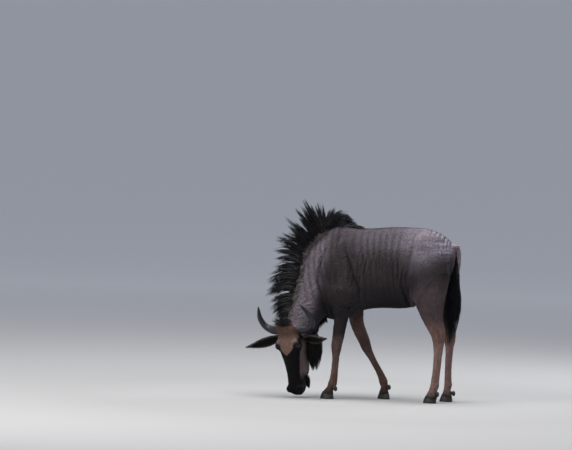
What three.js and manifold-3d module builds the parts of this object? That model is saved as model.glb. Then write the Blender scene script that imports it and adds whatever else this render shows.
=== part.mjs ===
// A grazing antelope, life size: heavy shoulders, sloping back, head lowered to the ground and turned
// to its left. Millimetres, +Z up, the animal faces -X, its left side is towards -Y.
// The flesh is one smooth form made of lofted limbs: rows of sections with a top point, a bottom point
// and a half width, blended where they meet. It is meshed once, thinned, and parted by narrow cuts.
import * as THREE from 'three';
import { mergeVertices } from 'three/addons/utils/BufferGeometryUtils.js';
import Module from 'manifold-3d';

const wasm = await Module();
wasm.setup();

// ---------- driving sizes ----------
const GAP = 0.35;                 // clear gap between neighbouring pieces
const SHIFT = [-5, 73.5, 0];        // brings the middle of the footprint box to the origin
const VOXEL = 11;                 // grid step of the flesh
const FLESH_TRIANGLES = 3000;     // flesh after thinning
const EYE_R = 21;
const HEAD_O = [-445, -175, 478]; // between the horn bases, on the axis of the skull
const HEAD_YAW = 25, HEAD_LEAN = 5.5, HEAD_NOD = 10; // degrees

// trunk: x, top z, bottom z, half width, height of the widest line (0..1), roundness of the upper half
const TRUNK = [
  [-255, 1010, 660, 60, 0.5, 2.0], [-225, 1095, 600, 100, 0.48, 1.9], [-185, 1165, 562, 135, 0.45, 1.8],
  [-146, 1203, 550, 156, 0.42, 1.7], [-60, 1206, 562, 178, 0.40, 1.7], [32, 1196, 612, 190, 0.42, 1.8],
  [120, 1199, 636, 197, 0.42, 1.9], [213, 1209, 643, 199, 0.43, 1.95], [300, 1214, 643, 197, 0.45, 2.0],
  [390, 1215, 655, 189, 0.5, 2.0], [450, 1214, 690, 180, 0.52, 2.0], [500, 1208, 740, 170, 0.55, 2.0],
  [558, 1187, 790, 154, 0.55, 2.0], [610, 1155, 830, 130, 0.55, 2.0], [642, 1126, 876, 98, 0.55, 2.0],
  [666, 1108, 950, 54, 0.55, 2.0],
];
// neck: top point, bottom point, half width, height of the widest line, roundness of the upper half
const NECK = [
  [-150, 0, 1195, -110, 0, 620, 150, 0.42, 1.7], [-215, 0, 1178, -160, 0, 575, 138, 0.42, 1.7],
  [-285, -12, 1125, -195, -8, 560, 122, 0.42, 1.7], [-340, -28, 1060, -215, -20, 558, 110, 0.43, 1.75],
  [-372, -48, 985, -226, -38, 552, 101, 0.44, 1.8], [-386, -72, 895, -236, -60, 545, 94, 0.45, 1.85],
  [-402, -95, 815, -243, -85, 535, 88, 0.46, 1.9], [-418, -120, 735, -248, -108, 518, 82, 0.48, 1.9],
  [-430, -142, 665, -255, -128, 492, 79, 0.5, 2.0], [-450, -172, 590, -270, -138, 458, 76, 0.5, 2.0],
  [-462, -196, 545, -298, -140, 432, 70, 0.5, 2.0],
];
// head: distance from the poll towards the muzzle, front, back, half width
const HEAD = [
  [-62, 18, 50, 34], [-42, 44, 72, 62], [-15, 58, 80, 78], [25, 64, 88, 86], [65, 68, 98, 90],
  [105, 69, 118, 91], [140, 67, 132, 88], [180, 63, 126, 79], [230, 59, 106, 67], [290, 55, 86, 59],
  [340, 53, 74, 57], [385, 51, 66, 62], [415, 48, 58, 64], [440, 40, 48, 57], [456, 26, 34, 42],
];
// legs, bottom up in x, y, z: front reach, back reach, half width
const FORE_NEAR = [
  [-165, -125, 30, 42, 42, 40], [-158, -125, 50, 36, 36, 36], [-146, -125, 76, 29, 30, 28],
  [-134, -125, 104, 34, 36, 32], [-128, -125, 130, 31, 33, 30], [-123, -125, 175, 28, 30, 26],
  [-119, -125, 235, 27, 29, 25], [-116, -125, 285, 28, 29, 27], [-114, -125, 318, 33, 31, 32],
  [-112, -125, 355, 41, 38, 38], [-110, -126, 385, 43, 40, 38], [-104, -127, 430, 44, 45, 38],
  [-96, -129, 492, 47, 48, 41], [-87, -131, 557, 50, 52, 45], [-86, -134, 620, 60, 62, 50],
  [-76, -136, 690, 78, 78, 56], [-62, -136, 760, 95, 78, 58],
];
const FORE_FAR = [
  [203, 105, 32, 40, 38, 40], [204, 105, 58, 34, 33, 35], [204, 105, 88, 28, 29, 28],
  [196, 105, 120, 33, 36, 32], [184, 106, 150, 29, 32, 28], [160, 107, 198, 26, 28, 24],
  [130, 107, 248, 26, 27, 24], [106, 108, 290, 28, 28, 26], [86, 109, 325, 34, 32, 32],
  [68, 110, 362, 42, 38, 38], [48, 111, 405, 43, 45, 37], [20, 113, 462, 47, 48, 39],
  [-6, 115, 526, 51, 52, 42], [-20, 118, 610, 60, 62, 49], [-32, 120, 690, 76, 75, 55],
  [-42, 120, 760, 95, 75, 58],
];
// hind leg: z, front x, back x, y, half width
const HIND = [
  [30, 514, 604, 120, 40], [60, 527, 606, 120, 35], [88, 541, 607, 120, 29], [118, 549, 620, 120, 33],
  [145, 554, 620, 120, 30], [185, 559, 622, 120, 26], [241, 564, 627, 120, 25], [315, 566, 632, 120, 26],
  [350, 566, 636, 120, 27], [389, 563, 641, 120, 30], [425, 557, 646, 120, 33], [464, 546, 650, 120, 36],
  [500, 526, 650, 120, 37], [538, 503, 643, 120, 39], [575, 482, 633, 120, 44], [620, 457, 628, 119, 52],
  [680, 430, 633, 118, 62], [740, 412, 642, 116, 72], [800, 398, 653, 114, 80], [870, 384, 665, 110, 88],
  [950, 380, 664, 105, 90], [1040, 392, 650, 98, 84], [1130, 430, 600, 85, 70],
];
// the far hind leg stands further back: height, shift
const HIND_SHIFT = [[30, 88], [88, 75], [150, 64], [240, 55], [540, 48], [700, 30], [900, 8], [1130, 0]];
const HIND_FAR_THIN = 0.88;       // of its depth, below the hock
// tail: x, y, z, radius
const DOCK = [[680, 0, 1088, 34], [702, 0, 1052, 24], [706, 0, 980, 20], [702, 0, 900, 17], [698, 0, 830, 14], [695, 0, 790, 11]];
// rounded muscles: centre, radii, tilt about Y in degrees, blend; each is made on both sides
const MUSCLES = [
  [-105, 106, 920, 94, 60, 192, -14, 50],   // shoulder blade
  [-150, 110, 740, 80, 62, 95, 0, 40],      // point of the shoulder
  [-40, 128, 790, 88, 60, 105, 20, 36],     // upper arm
  [470, 128, 930, 130, 62, 120, 0, 40],     // haunch
  [500, 88, 1090, 90, 66, 64, 15, 50],      // hip
];
// head lumps in the head's own axes: left, forward, down, radii, blend
const LUMPS = [
  [78, 30, 112, 26, 30, 36, 16],   // eye socket
  [70, 46, 84, 26, 20, 22, 18],    // brow
  [62, -62, 118, 30, 52, 62, 24],  // cheek
  [44, 30, 418, 24, 26, 30, 14],   // nostril
  [80, -40, 40, 26, 30, 30, 16],   // ear root
  [62, 2, -8, 44, 44, 36, 18],     // horn root
  [55, -60, 228, 27, 41, 120, 34],  // jowl
];
const CHIN = [0, -50, 405, 46, 30, 56, 16];

// horn centre line, in the head's axes: left, forward, down, radius; the same on both sides
const HORN = [
  [48, -2, 0, 34], [84, -4, 3, 33], [118, -5, 5, 30], [150, -7, -1, 27], [178, -6, -14, 24.5], [200, 3, -40, 22],
  [208, 22, -78, 19.5], [203, 40, -110, 16], [191, 58, -141, 11.5], [180, 74, -168, 6.5], [173, 83, -184, 1.6],
];
// ears, in the head's axes: side, root, direction, length
const EARS = [
  ['ear_left', [84, -46, 82], [0.90, 0.28, -0.03], 236], ['ear_right', [-84, -34, 58], [-0.83, 0.53, 0.15], 262],
];
const EAR_WIDTH = [18, 28, 38, 41, 40, 35, 25, 12, 3];      // half widths from root to tip
const EYE = [83, 36, 112];
// mane: root x, y, z, tip x, y, z, lift of the middle, radius
const MANE = [
  [-118, 0, 1200, 8, 26, 1166, 60, 17], [-140, 0, 1200, -14, -30, 1190, 78, 18], [-165, 0, 1196, -62, 8, 1268, 62, 18],
  [-188, -2, 1188, -118, -20, 1316, 40, 18], [-208, -3, 1180, -176, 24, 1336, 22, 19], [-226, -5, 1172, -238, -16, 1354, 8, 19],
  [-244, -7, 1160, -302, 22, 1352, 4, 19], [-262, -9, 1145, -372, -30, 1380, 6, 20], [-280, -12, 1128, -398, 18, 1366, 12, 20],
  [-296, -15, 1112, -444, -38, 1334, 16, 20], [-312, -20, 1094, -474, 12, 1304, 18, 20], [-328, -25, 1074, -500, -48, 1276, 22, 20],
  [-344, -31, 1050, -541, 0, 1228, 28, 20], [-357, -39, 1022, -566, -66, 1160, 32, 20], [-369, -47, 990, -582, -14, 1078, 38, 20],
  [-377, -57, 952, -592, -84, 990, 42, 21], [-384, -70, 905, -588, -34, 912, 44, 22], [-391, -82, 862, -606, -112, 838, 46, 22],
  [-400, -95, 818, -627, -62, 768, 48, 23], [-409, -108, 775, -628, -138, 724, 44, 23], [-418, -120, 732, -608, -90, 684, 40, 22],
  [-425, -133, 694, -592, -166, 642, 34, 21], [-434, -148, 652, -562, -122, 606, 28, 20], [-444, -164, 612, -530, -196, 582, 20, 18],
  [-458, -188, 566, -500, -170, 556, 14, 16],
];
const MANE_RIDGE = [
  [-100, 0, 1203, 8], [-150, 0, 1203, 15], [-215, -3, 1186, 21], [-287, -13, 1132, 25], [-345, -30, 1064, 26], [-378, -50, 985, 26],
  [-393, -74, 895, 26], [-408, -97, 815, 25], [-424, -121, 735, 23], [-437, -144, 665, 21], [-456, -172, 592, 18], [-468, -198, 552, 12],
];
const TAIL_HAIR = [
  [694, 0, 1066, 10], [686, 0, 1010, 24], [682, 0, 920, 32], [684, 0, 830, 40], [686, 0, 740, 50], [682, 0, 650, 55],
  [676, 0, 570, 50], [669, 0, 490, 36], [663, 0, 430, 20], [659, 0, 384, 3],
];
const BEARD = [
  [[-282, -142, 452, 26], [-270, -144, 400, 40], [-258, -144, 330, 38], [-250, -142, 262, 25], [-244, -140, 192, 3]],
  [[-300, -128, 430, 26], [-292, -130, 370, 36], [-284, -130, 300, 32], [-276, -130, 235, 16], [-270, -130, 190, 3]],
  [[-268, -150, 448, 20], [-246, -156, 392, 28], [-230, -158, 322, 22], [-222, -158, 256, 3]],
];
// chin hair, in the head's axes
const CHIN_HAIR = [[14, -56, 318, 20], [22, -78, 362, 25], [28, -90, 402, 19], [34, -96, 446, 3]];
// feet: name, middle of the hoof x, y, size, turn in degrees, dewclaw x and z
const FEET = [
  ['front_left', -166, -125, 0.93, 0, -112, 74], ['front_right', 204, 105, 0.90, 14, 236, 84],
  ['hind_left', 556, -120, 0.90, 0, 604, 64], ['hind_right', 644, 108, 0.90, 0, 692, 60],
];
const CORONET = 46, CORONET_RISE = 0.22;   // height in the middle, rise towards the toe
// outline of one claw at the ground: forward, outward
const CLAW = [[-45, 4], [-47, 17], [-38, 31], [-14, 38], [14, 35], [36, 25], [50, 12], [53, 5], [30, 3], [-10, 3]];

// ---------- small vector kit ----------
const add = (a, b, s = 1) => [a[0] + b[0] * s, a[1] + b[1] * s, a[2] + b[2] * s];
const sub = (a, b) => [a[0] - b[0], a[1] - b[1], a[2] - b[2]];
const dot = (a, b) => a[0] * b[0] + a[1] * b[1] + a[2] * b[2];
const cross = (a, b) => [a[1] * b[2] - a[2] * b[1], a[2] * b[0] - a[0] * b[2], a[0] * b[1] - a[1] * b[0]];
const len = (a) => Math.hypot(a[0], a[1], a[2]);
const unit = (a) => { const l = len(a) || 1; return [a[0] / l, a[1] / l, a[2] / l]; };
const mix = (a, b, t) => a + (b - a) * t;
const mixv = (a, b, t) => a.map((v, i) => mix(v, b[i], t));
const rad = (d) => d * Math.PI / 180;

// head axes: left, forward (forehead), down (towards the muzzle)
const [hl, hn, ha] = (() => {
  const y = rad(HEAD_YAW), t = rad(HEAD_LEAN), p = rad(HEAD_NOD);
  const n0 = [-Math.sin(y), -Math.cos(y), 0], l0 = [Math.cos(y), -Math.sin(y), 0], a0 = [0, 0, -1];
  const a1 = add(a0.map((v) => v * Math.cos(t)), l0, Math.sin(t));
  const l1 = add(l0.map((v) => v * Math.cos(t)), a0, -Math.sin(t));
  const a2 = add(a1.map((v) => v * Math.cos(p)), n0, -Math.sin(p));
  const n2 = add(n0.map((v) => v * Math.cos(p)), a1, Math.sin(p));
  return [l1, n2, a2];
})();
const headPoint = (l, f, u) => add(add(add(HEAD_O, hl, l), hn, f), ha, u);

// Catmull-Rom rows: every row of numbers is carried along together
function smoothRows(rows, parts) {
  const out = [];
  for (let i = 0; i + 1 < rows.length; i++) {
    const p0 = rows[Math.max(i - 1, 0)], p1 = rows[i], p2 = rows[i + 1], p3 = rows[Math.min(i + 2, rows.length - 1)];
    for (let k = 0; k < parts; k++) {
      const t = k / parts, t2 = t * t, t3 = t2 * t;
      out.push(p1.map((v, j) => 0.5 * (2 * v + (p2[j] - p0[j]) * t + (2 * p0[j] - 5 * v + 4 * p2[j] - p3[j]) * t2 + (3 * v - p0[j] - 3 * p2[j] + p3[j]) * t3)));
    }
  }
  out.push(rows[rows.length - 1].slice());
  return out;
}

// a row of sections: T top, B bottom, w half width, m height of the widest line, pt/pb roundness
function chain(rows, { lateral = null, blend = 30, cap = 0.6, parts = 2, power = 2 } = {}) {
  const S = smoothRows(rows, parts).map((r) => ({ T: r.slice(0, 3), B: r.slice(3, 6), w: r[6], m: r[7], pt: r[8], pb: r[9] }));
  for (const s of S) {
    s.c = mixv(s.B, s.T, s.m);
    s.a = len(sub(s.T, s.c)); s.b = len(sub(s.B, s.c));
    s.n = unit(sub(s.T, s.B));
  }
  S.forEach((s, i) => {
    const d = sub(S[Math.min(i + 1, S.length - 1)].c, S[Math.max(i - 1, 0)].c);
    let l = lateral || unit(cross(s.n, d));
    if (!lateral && l[1] < 0) l = l.map((v) => -v);
    l = unit(add(l, s.n, -dot(l, s.n)));
    s.l = l; s.t = cross(l, s.n);
    if (dot(s.t, d) < 0) s.t = s.t.map((v) => -v);
  });
  const segs = [];
  for (let i = 0; i + 1 < S.length; i++) {
    const p = S[i], q = S[i + 1];
    const lo = [1e9, 1e9, 1e9], hi = [-1e9, -1e9, -1e9];
    for (const s of [p, q]) for (let k = 0; k < 3; k++) {
      const r = Math.max(s.a, s.b) * Math.abs(s.n[k]) + s.w * Math.abs(s.l[k]) + cap * Math.min(s.a, s.w) * Math.abs(s.t[k]);
      lo[k] = Math.min(lo[k], s.c[k] - r); hi[k] = Math.max(hi[k], s.c[k] + r);
    }
    segs.push({ p, q, lo, hi, cap });
  }
  return { segs, blend };
}
function segValue(g, P) {
  const { p, q, cap } = g;
  const d0 = (P[0] - p.c[0]) * p.t[0] + (P[1] - p.c[1]) * p.t[1] + (P[2] - p.c[2]) * p.t[2];
  const d1 = (P[0] - q.c[0]) * q.t[0] + (P[1] - q.c[1]) * q.t[1] + (P[2] - q.c[2]) * q.t[2];
  const t = d0 <= 0 ? 0 : d1 >= 0 ? 1 : d0 / (d0 - d1);
  const a = mix(p.a, q.a, t), b = mix(p.b, q.b, t), w = mix(p.w, q.w, t);
  let vv = 0, qn = 0, ql = 0, nn = 0, ll = 0;
  for (let k = 0; k < 3; k++) {
    const n = mix(p.n[k], q.n[k], t), l = mix(p.l[k], q.l[k], t), v = P[k] - mix(p.c[k], q.c[k], t);
    vv += v * v; qn += v * n; ql += v * l; nn += n * n; ll += l * l;
  }
  qn /= Math.sqrt(nn); ql /= Math.sqrt(ll);
  const rest = Math.sqrt(Math.max(vv - qn * qn - ql * ql, 0));
  const pw = qn > 0 ? mix(p.pt, q.pt, t) : mix(p.pb, q.pb, t), r = qn > 0 ? a : b;
  const e2 = Math.pow(Math.abs(ql) / w, pw) + Math.pow(Math.abs(qn) / r, pw);
  const e = Math.hypot(Math.pow(e2, 1 / pw), rest / (cap * Math.min(r, w)));
  return e < 1e-6 ? -Math.min(a, b, w) : Math.sqrt(vv) * (1 - 1 / e);
}
// an ellipsoid with its own axes
function lump(c, r, axes, blend) {
  const e = [0, 1, 2].map((k) => Math.abs(axes[0][k]) * r[0] + Math.abs(axes[1][k]) * r[1] + Math.abs(axes[2][k]) * r[2]);
  return { c, r, axes, blend, lo: sub(c, e), hi: add(c, e) };
}
function lumpValue(g, P) {
  const v = sub(P, g.c);
  const e = Math.hypot(dot(v, g.axes[0]) / g.r[0], dot(v, g.axes[1]) / g.r[1], dot(v, g.axes[2]) / g.r[2]);
  return e < 1e-6 ? -Math.min(...g.r) : len(v) * (1 - 1 / e);
}
const smin = (a, b, k) => { const h = Math.max(k - Math.abs(a - b), 0) / k; return Math.min(a, b) - h * h * k * 0.25; };

// legs given as centre rows become top/bottom rows with sections square to the limb
function limbRows(rows) {
  return rows.map((r, i) => {
    const a = rows[Math.max(i - 1, 0)], b = rows[Math.min(i + 1, rows.length - 1)];
    const t = unit([b[0] - a[0], 0, b[2] - a[2]]);
    const f = [-t[2], 0, t[0]]; // forward of the limb
    return [...add([r[0], r[1], r[2]], f, r[3]), ...add([r[0], r[1], r[2]], f, -r[4]), r[5], r[4] / (r[3] + r[4]), 2, 2];
  });
}
const lookup = (tab, z) => {
  if (z <= tab[0][0]) return tab[0][1];
  for (let i = 1; i < tab.length; i++) if (z <= tab[i][0]) return mix(tab[i - 1][1], tab[i][1], (z - tab[i - 1][0]) / (tab[i][0] - tab[i - 1][0]));
  return tab[tab.length - 1][1];
};
const hindRows = (side) => HIND.map(([z, f, b, y, w]) => {
  const s = side > 0 ? lookup(HIND_SHIFT, z) : 0, k = side > 0 && z < 420 ? HIND_FAR_THIN : 1;
  const m = (f + b) / 2 + s, h = (b - f) / 2 * k, yy = side > 0 ? y * 0.9 : -y;
  return [m - h, yy, z, m + h, yy, z, w, 0.5, 2.2, 2.2];
});

const FORMS = [
  chain(TRUNK.map(([x, t, b, w, m, pt]) => [x, 0, t, x, 0, b, w, m, pt, 2.15]), { lateral: [0, 1, 0], blend: 30, cap: 0.4 }),
  chain(NECK.map((r) => [...r, 2.1]), { blend: 40 }),
  chain(HEAD.map(([u, f, b, w]) => [...headPoint(0, f, u), ...headPoint(0, -b, u), w, b / (f + b), 2.7, 2.3]), { lateral: hl, blend: 26 }),
  chain(limbRows(FORE_NEAR), { lateral: [0, 1, 0], blend: 40 }),
  chain(limbRows(FORE_FAR), { lateral: [0, 1, 0], blend: 40 }),
  chain(hindRows(-1), { lateral: [0, 1, 0], blend: 44 }),
  chain(hindRows(1), { lateral: [0, 1, 0], blend: 44 }),
  chain(DOCK.map(([x, y, z, r]) => [x - r, y, z, x + r, y, z, r, 0.5, 2, 2]), { lateral: [0, 1, 0], blend: 24 }),
];
const BUMPS = [];
for (const s of [-1, 1]) {
  for (const [x, y, z, rx, ry, rz, tilt, k] of MUSCLES) {
    const a = rad(tilt);
    BUMPS.push(lump([x, s * y, z], [rx, ry, rz], [[Math.cos(a), 0, Math.sin(a)], [0, 1, 0], [-Math.sin(a), 0, Math.cos(a)]], k));
  }
  for (const [l, f, u, rl, rf, ru, k] of LUMPS) BUMPS.push(lump(headPoint(s * l, f, u), [rl, rf, ru], [hl, hn, ha], k));
}
BUMPS.push(lump(headPoint(CHIN[0], CHIN[1], CHIN[2]), CHIN.slice(3, 6), [hl, hn, ha], CHIN[6]));

function flesh(P) {
  let v = 60;
  for (const f of FORMS) {
    let c = 60;
    for (const g of f.segs) {
      if (P[0] < g.lo[0] - 45 || P[0] > g.hi[0] + 45 || P[1] < g.lo[1] - 45 || P[1] > g.hi[1] + 45 || P[2] < g.lo[2] - 45 || P[2] > g.hi[2] + 45) continue;
      c = Math.min(c, segValue(g, P));
    }
    if (c < 60) v = smin(v, c, f.blend);
  }
  for (const g of BUMPS) {
    if (P[0] < g.lo[0] - 40 || P[0] > g.hi[0] + 40 || P[1] < g.lo[1] - 40 || P[1] > g.hi[1] + 40 || P[2] < g.lo[2] - 40 || P[2] > g.hi[2] + 40) continue;
    v = smin(v, lumpValue(g, P), g.blend);
  }
  return v;
}

// ---------- surface of the form: one vertex for each grid cell the surface crosses ----------
function surfaceNet(field, lo, hi, h) {
  const n = [0, 1, 2].map((k) => Math.ceil((hi[k] - lo[k]) / h) + 1);
  const val = new Float32Array(n[0] * n[1] * n[2]);
  const at = (i, j, k) => (i * n[1] + j) * n[2] + k;
  // blocks of cells that lie wholly inside or outside keep one value
  const B = 4;
  for (let i = 0; i < n[0]; i += B) for (let j = 0; j < n[1]; j += B) for (let k = 0; k < n[2]; k += B) {
    const mid = field([lo[0] + (i + 1.5) * h, lo[1] + (j + 1.5) * h, lo[2] + (k + 1.5) * h]), far = Math.abs(mid) > 4.6 * h;
    for (let x = i; x < Math.min(i + B, n[0]); x++) for (let y = j; y < Math.min(j + B, n[1]); y++) for (let z = k; z < Math.min(k + B, n[2]); z++) {
      val[at(x, y, z)] = far ? mid : field([lo[0] + x * h, lo[1] + y * h, lo[2] + z * h]);
    }
  }
  const id = new Map(), V = [];
  for (let i = 0; i + 1 < n[0]; i++) for (let j = 0; j + 1 < n[1]; j++) for (let k = 0; k + 1 < n[2]; k++) {
    let cnt = 0, x = 0, y = 0, z = 0, mask = 0;
    for (let c = 0; c < 8; c++) if (val[at(i + (c & 1), j + ((c >> 1) & 1), k + (c >> 2))] < 0) mask |= 1 << c;
    if (mask === 0 || mask === 255) continue;
    for (let c = 0; c < 8; c++) for (const b of [1, 2, 4]) {
      const d = c | b; if (d === c) continue;
      if (((mask >> c) & 1) === ((mask >> d) & 1)) continue;
      const v0 = val[at(i + (c & 1), j + ((c >> 1) & 1), k + (c >> 2))], v1 = val[at(i + (d & 1), j + ((d >> 1) & 1), k + (d >> 2))];
      const t = v0 / (v0 - v1); cnt++;
      x += mix(c & 1, d & 1, t); y += mix((c >> 1) & 1, (d >> 1) & 1, t); z += mix(c >> 2, d >> 2, t);
    }
    id.set(at(i, j, k), V.length);
    V.push([lo[0] + (i + x / cnt) * h, lo[1] + (j + y / cnt) * h, lo[2] + (k + z / cnt) * h]);
  }
  const F = [];
  const quad = (a, b, c, d, flip) => { if (flip) F.push([a, c, b], [a, d, c]); else F.push([a, b, c], [a, c, d]); };
  for (let i = 1; i + 1 < n[0]; i++) for (let j = 1; j + 1 < n[1]; j++) for (let k = 1; k + 1 < n[2]; k++) {
    const s = val[at(i, j, k)] < 0;
    if ((val[at(i + 1, j, k)] < 0) !== s) quad(id.get(at(i, j - 1, k - 1)), id.get(at(i, j, k - 1)), id.get(at(i, j, k)), id.get(at(i, j - 1, k)), !s);
    if ((val[at(i, j + 1, k)] < 0) !== s) quad(id.get(at(i - 1, j, k - 1)), id.get(at(i, j, k - 1)), id.get(at(i, j, k)), id.get(at(i - 1, j, k)), s);
    if ((val[at(i, j, k + 1)] < 0) !== s) quad(id.get(at(i - 1, j - 1, k)), id.get(at(i, j - 1, k)), id.get(at(i, j, k)), id.get(at(i - 1, j, k)), !s);
  }
  // draw every vertex onto the surface
  for (const p of V) for (let r = 0; r < 2; r++) {
    const e = 1.5, v = field(p);
    const g = [field([p[0] + e, p[1], p[2]]) - field([p[0] - e, p[1], p[2]]), field([p[0], p[1] + e, p[2]]) - field([p[0], p[1] - e, p[2]]), field([p[0], p[1], p[2] + e]) - field([p[0], p[1], p[2] - e])].map((q) => q / (2 * e));
    const gg = Math.max(dot(g, g), 0.2), s = Math.max(-h * 0.4, Math.min(h * 0.4, v / gg));
    p[0] -= g[0] * s; p[1] -= g[1] * s; p[2] -= g[2] * s;
  }
  return { V, F };
}

// thins a closed mesh: the cheapest edge goes first, by the squared distance to the planes it stood on
function thin({ V, F }, target, weight = () => 1) {
  const Q = V.map(() => new Float64Array(10)), inc = V.map(() => new Set());
  const alive = new Uint8Array(F.length).fill(1);
  let count = F.length;
  const nrm = (f) => cross(sub(V[f[1]], V[f[0]]), sub(V[f[2]], V[f[0]]));
  F.forEach((f, i) => {
    const c = nrm(f), A = len(c) / 2, n = unit(c), d = -dot(n, V[f[0]]);
    const q = [n[0] * n[0], n[0] * n[1], n[0] * n[2], n[0] * d, n[1] * n[1], n[1] * n[2], n[1] * d, n[2] * n[2], n[2] * d, d * d];
    for (const v of f) { inc[v].add(i); for (let k = 0; k < 10; k++) Q[v][k] += q[k] * A; }
  });
  const cost = (q, p) => q[0] * p[0] * p[0] + 2 * q[1] * p[0] * p[1] + 2 * q[2] * p[0] * p[2] + 2 * q[3] * p[0] + q[4] * p[1] * p[1] + 2 * q[5] * p[1] * p[2] + 2 * q[6] * p[1] + q[7] * p[2] * p[2] + 2 * q[8] * p[2] + q[9];
  const best = (a, b) => {
    const q = new Float64Array(10); for (let k = 0; k < 10; k++) q[k] = Q[a][k] + Q[b][k];
    const m = mixv(V[a], V[b], 0.5);
    const D = q[0] * (q[4] * q[7] - q[5] * q[5]) - q[1] * (q[1] * q[7] - q[5] * q[2]) + q[2] * (q[1] * q[5] - q[4] * q[2]);
    let list = [m, V[a], V[b]];
    if (Math.abs(D) > 1e-3 * Math.pow(q[0] + q[4] + q[7], 3)) {
      const r = [-q[3], -q[6], -q[8]];
      const x = (r[0] * (q[4] * q[7] - q[5] * q[5]) - q[1] * (r[1] * q[7] - q[5] * r[2]) + q[2] * (r[1] * q[5] - q[4] * r[2])) / D;
      const y = (q[0] * (r[1] * q[7] - q[5] * r[2]) - r[0] * (q[1] * q[7] - q[5] * q[2]) + q[2] * (q[1] * r[2] - r[1] * q[2])) / D;
      const z = (q[0] * (q[4] * r[2] - r[1] * q[5]) - q[1] * (q[1] * r[2] - r[1] * q[2]) + r[0] * (q[1] * q[5] - q[4] * q[2])) / D;
      if (len(sub([x, y, z], m)) < 2 * len(sub(V[a], V[b]))) list = [[x, y, z], m];
    }
    let bp = null, bc = 1e30;
    for (const p of list) { const c = cost(q, p); if (c < bc) { bc = c; bp = p; } }
    const L = len(sub(V[a], V[b]));
    return [(Math.max(bc, 0) + 1e-4 * L * L * L) * weight(m), bp];
  };
  // a binary heap of edges; stale entries are skipped by a version number
  const heap = [], ver = new Uint32Array(V.length);
  const push = (x) => { heap.push(x); let i = heap.length - 1; while (i > 0) { const p = (i - 1) >> 1; if (heap[p][0] <= heap[i][0]) break; [heap[p], heap[i]] = [heap[i], heap[p]]; i = p; } };
  const pop = () => { const t = heap[0], x = heap.pop(); if (heap.length) { heap[0] = x; let i = 0; for (;;) { let c = 2 * i + 1; if (c >= heap.length) break; if (c + 1 < heap.length && heap[c + 1][0] < heap[c][0]) c++; if (heap[i][0] <= heap[c][0]) break; [heap[c], heap[i]] = [heap[i], heap[c]]; i = c; } } return t; };
  const queue = (a, b) => { const [c, p] = best(a, b); push([c, a, b, ver[a], ver[b], p]); };
  for (const f of F) for (let k = 0; k < 3; k++) if (f[k] < f[(k + 1) % 3]) queue(f[k], f[(k + 1) % 3]);
  const ring = (v) => { const s = new Set(); for (const i of inc[v]) for (const w of F[i]) if (w !== v) s.add(w); return s; };
  while (count > target && heap.length) {
    const [, a, b, va, vb, p] = pop();
    if (ver[a] !== va || ver[b] !== vb || !inc[a].size || !inc[b].size) continue;
    const ra = ring(a), rb = ring(b); let common = 0;
    for (const w of ra) if (rb.has(w)) common++;
    if (common !== 2) continue;
    let bad = false;
    for (const v of [a, b]) for (const i of inc[v]) {
      const f = F[i]; if (f.includes(a) && f.includes(b)) continue;
      const n0 = nrm(f), g = f.map((w) => (w === v ? p : V[w])), n1 = cross(sub(g[1], g[0]), sub(g[2], g[0]));
      if (dot(unit(n0), unit(n1)) < 0.4 || len(n1) < 1) { bad = true; break; }
    }
    if (bad) continue;
    for (const i of [...inc[b]]) {
      const f = F[i];
      if (f.includes(a)) { alive[i] = 0; count--; for (const w of f) inc[w].delete(i); } else { f[f.indexOf(b)] = a; inc[a].add(i); }
    }
    inc[b].clear(); V[a] = p; for (let k = 0; k < 10; k++) Q[a][k] += Q[b][k];
    ver[a]++; ver[b]++;
    for (const w of ring(a)) queue(a, w);
  }
  const map = new Map(), V2 = [], F2 = [];
  F.forEach((f, i) => { if (!alive[i]) return; F2.push(f.map((w) => { if (!map.has(w)) { map.set(w, V2.length); V2.push(V[w]); } return map.get(w); })); });
  return { V: V2, F: F2 };
}

// ---------- solids ----------
const solid = ({ V, F }) => new wasm.Manifold(new wasm.Mesh({ numProp: 3, vertProperties: new Float32Array(V.flat()), triVerts: new Uint32Array(F.flat()) }));
// a closed tube through rings of equal count, with flat ends
function tube(rings) {
  const m = rings[0].length, V = rings.flat(), F = [];
  for (let i = 0; i + 1 < rings.length; i++) for (let j = 0; j < m; j++) {
    const a = i * m + j, b = i * m + (j + 1) % m, c = a + m, d = b + m;
    F.push([a, b, d], [a, d, c]);
  }
  const c0 = V.length; V.push(rings[0].reduce((s, p) => add(s, p, 1 / m), [0, 0, 0]));
  const c1 = V.length; V.push(rings[rings.length - 1].reduce((s, p) => add(s, p, 1 / m), [0, 0, 0]));
  const e = (rings.length - 1) * m;
  for (let j = 0; j < m; j++) { F.push([c0, (j + 1) % m, j]); F.push([c1, e + j, e + (j + 1) % m]); }
  let vol = 0; for (const f of F) vol += dot(V[f[0]], cross(V[f[1]], V[f[2]]));
  if (vol < 0) for (const f of F) f.reverse();
  return solid({ V, F });
}
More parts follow.
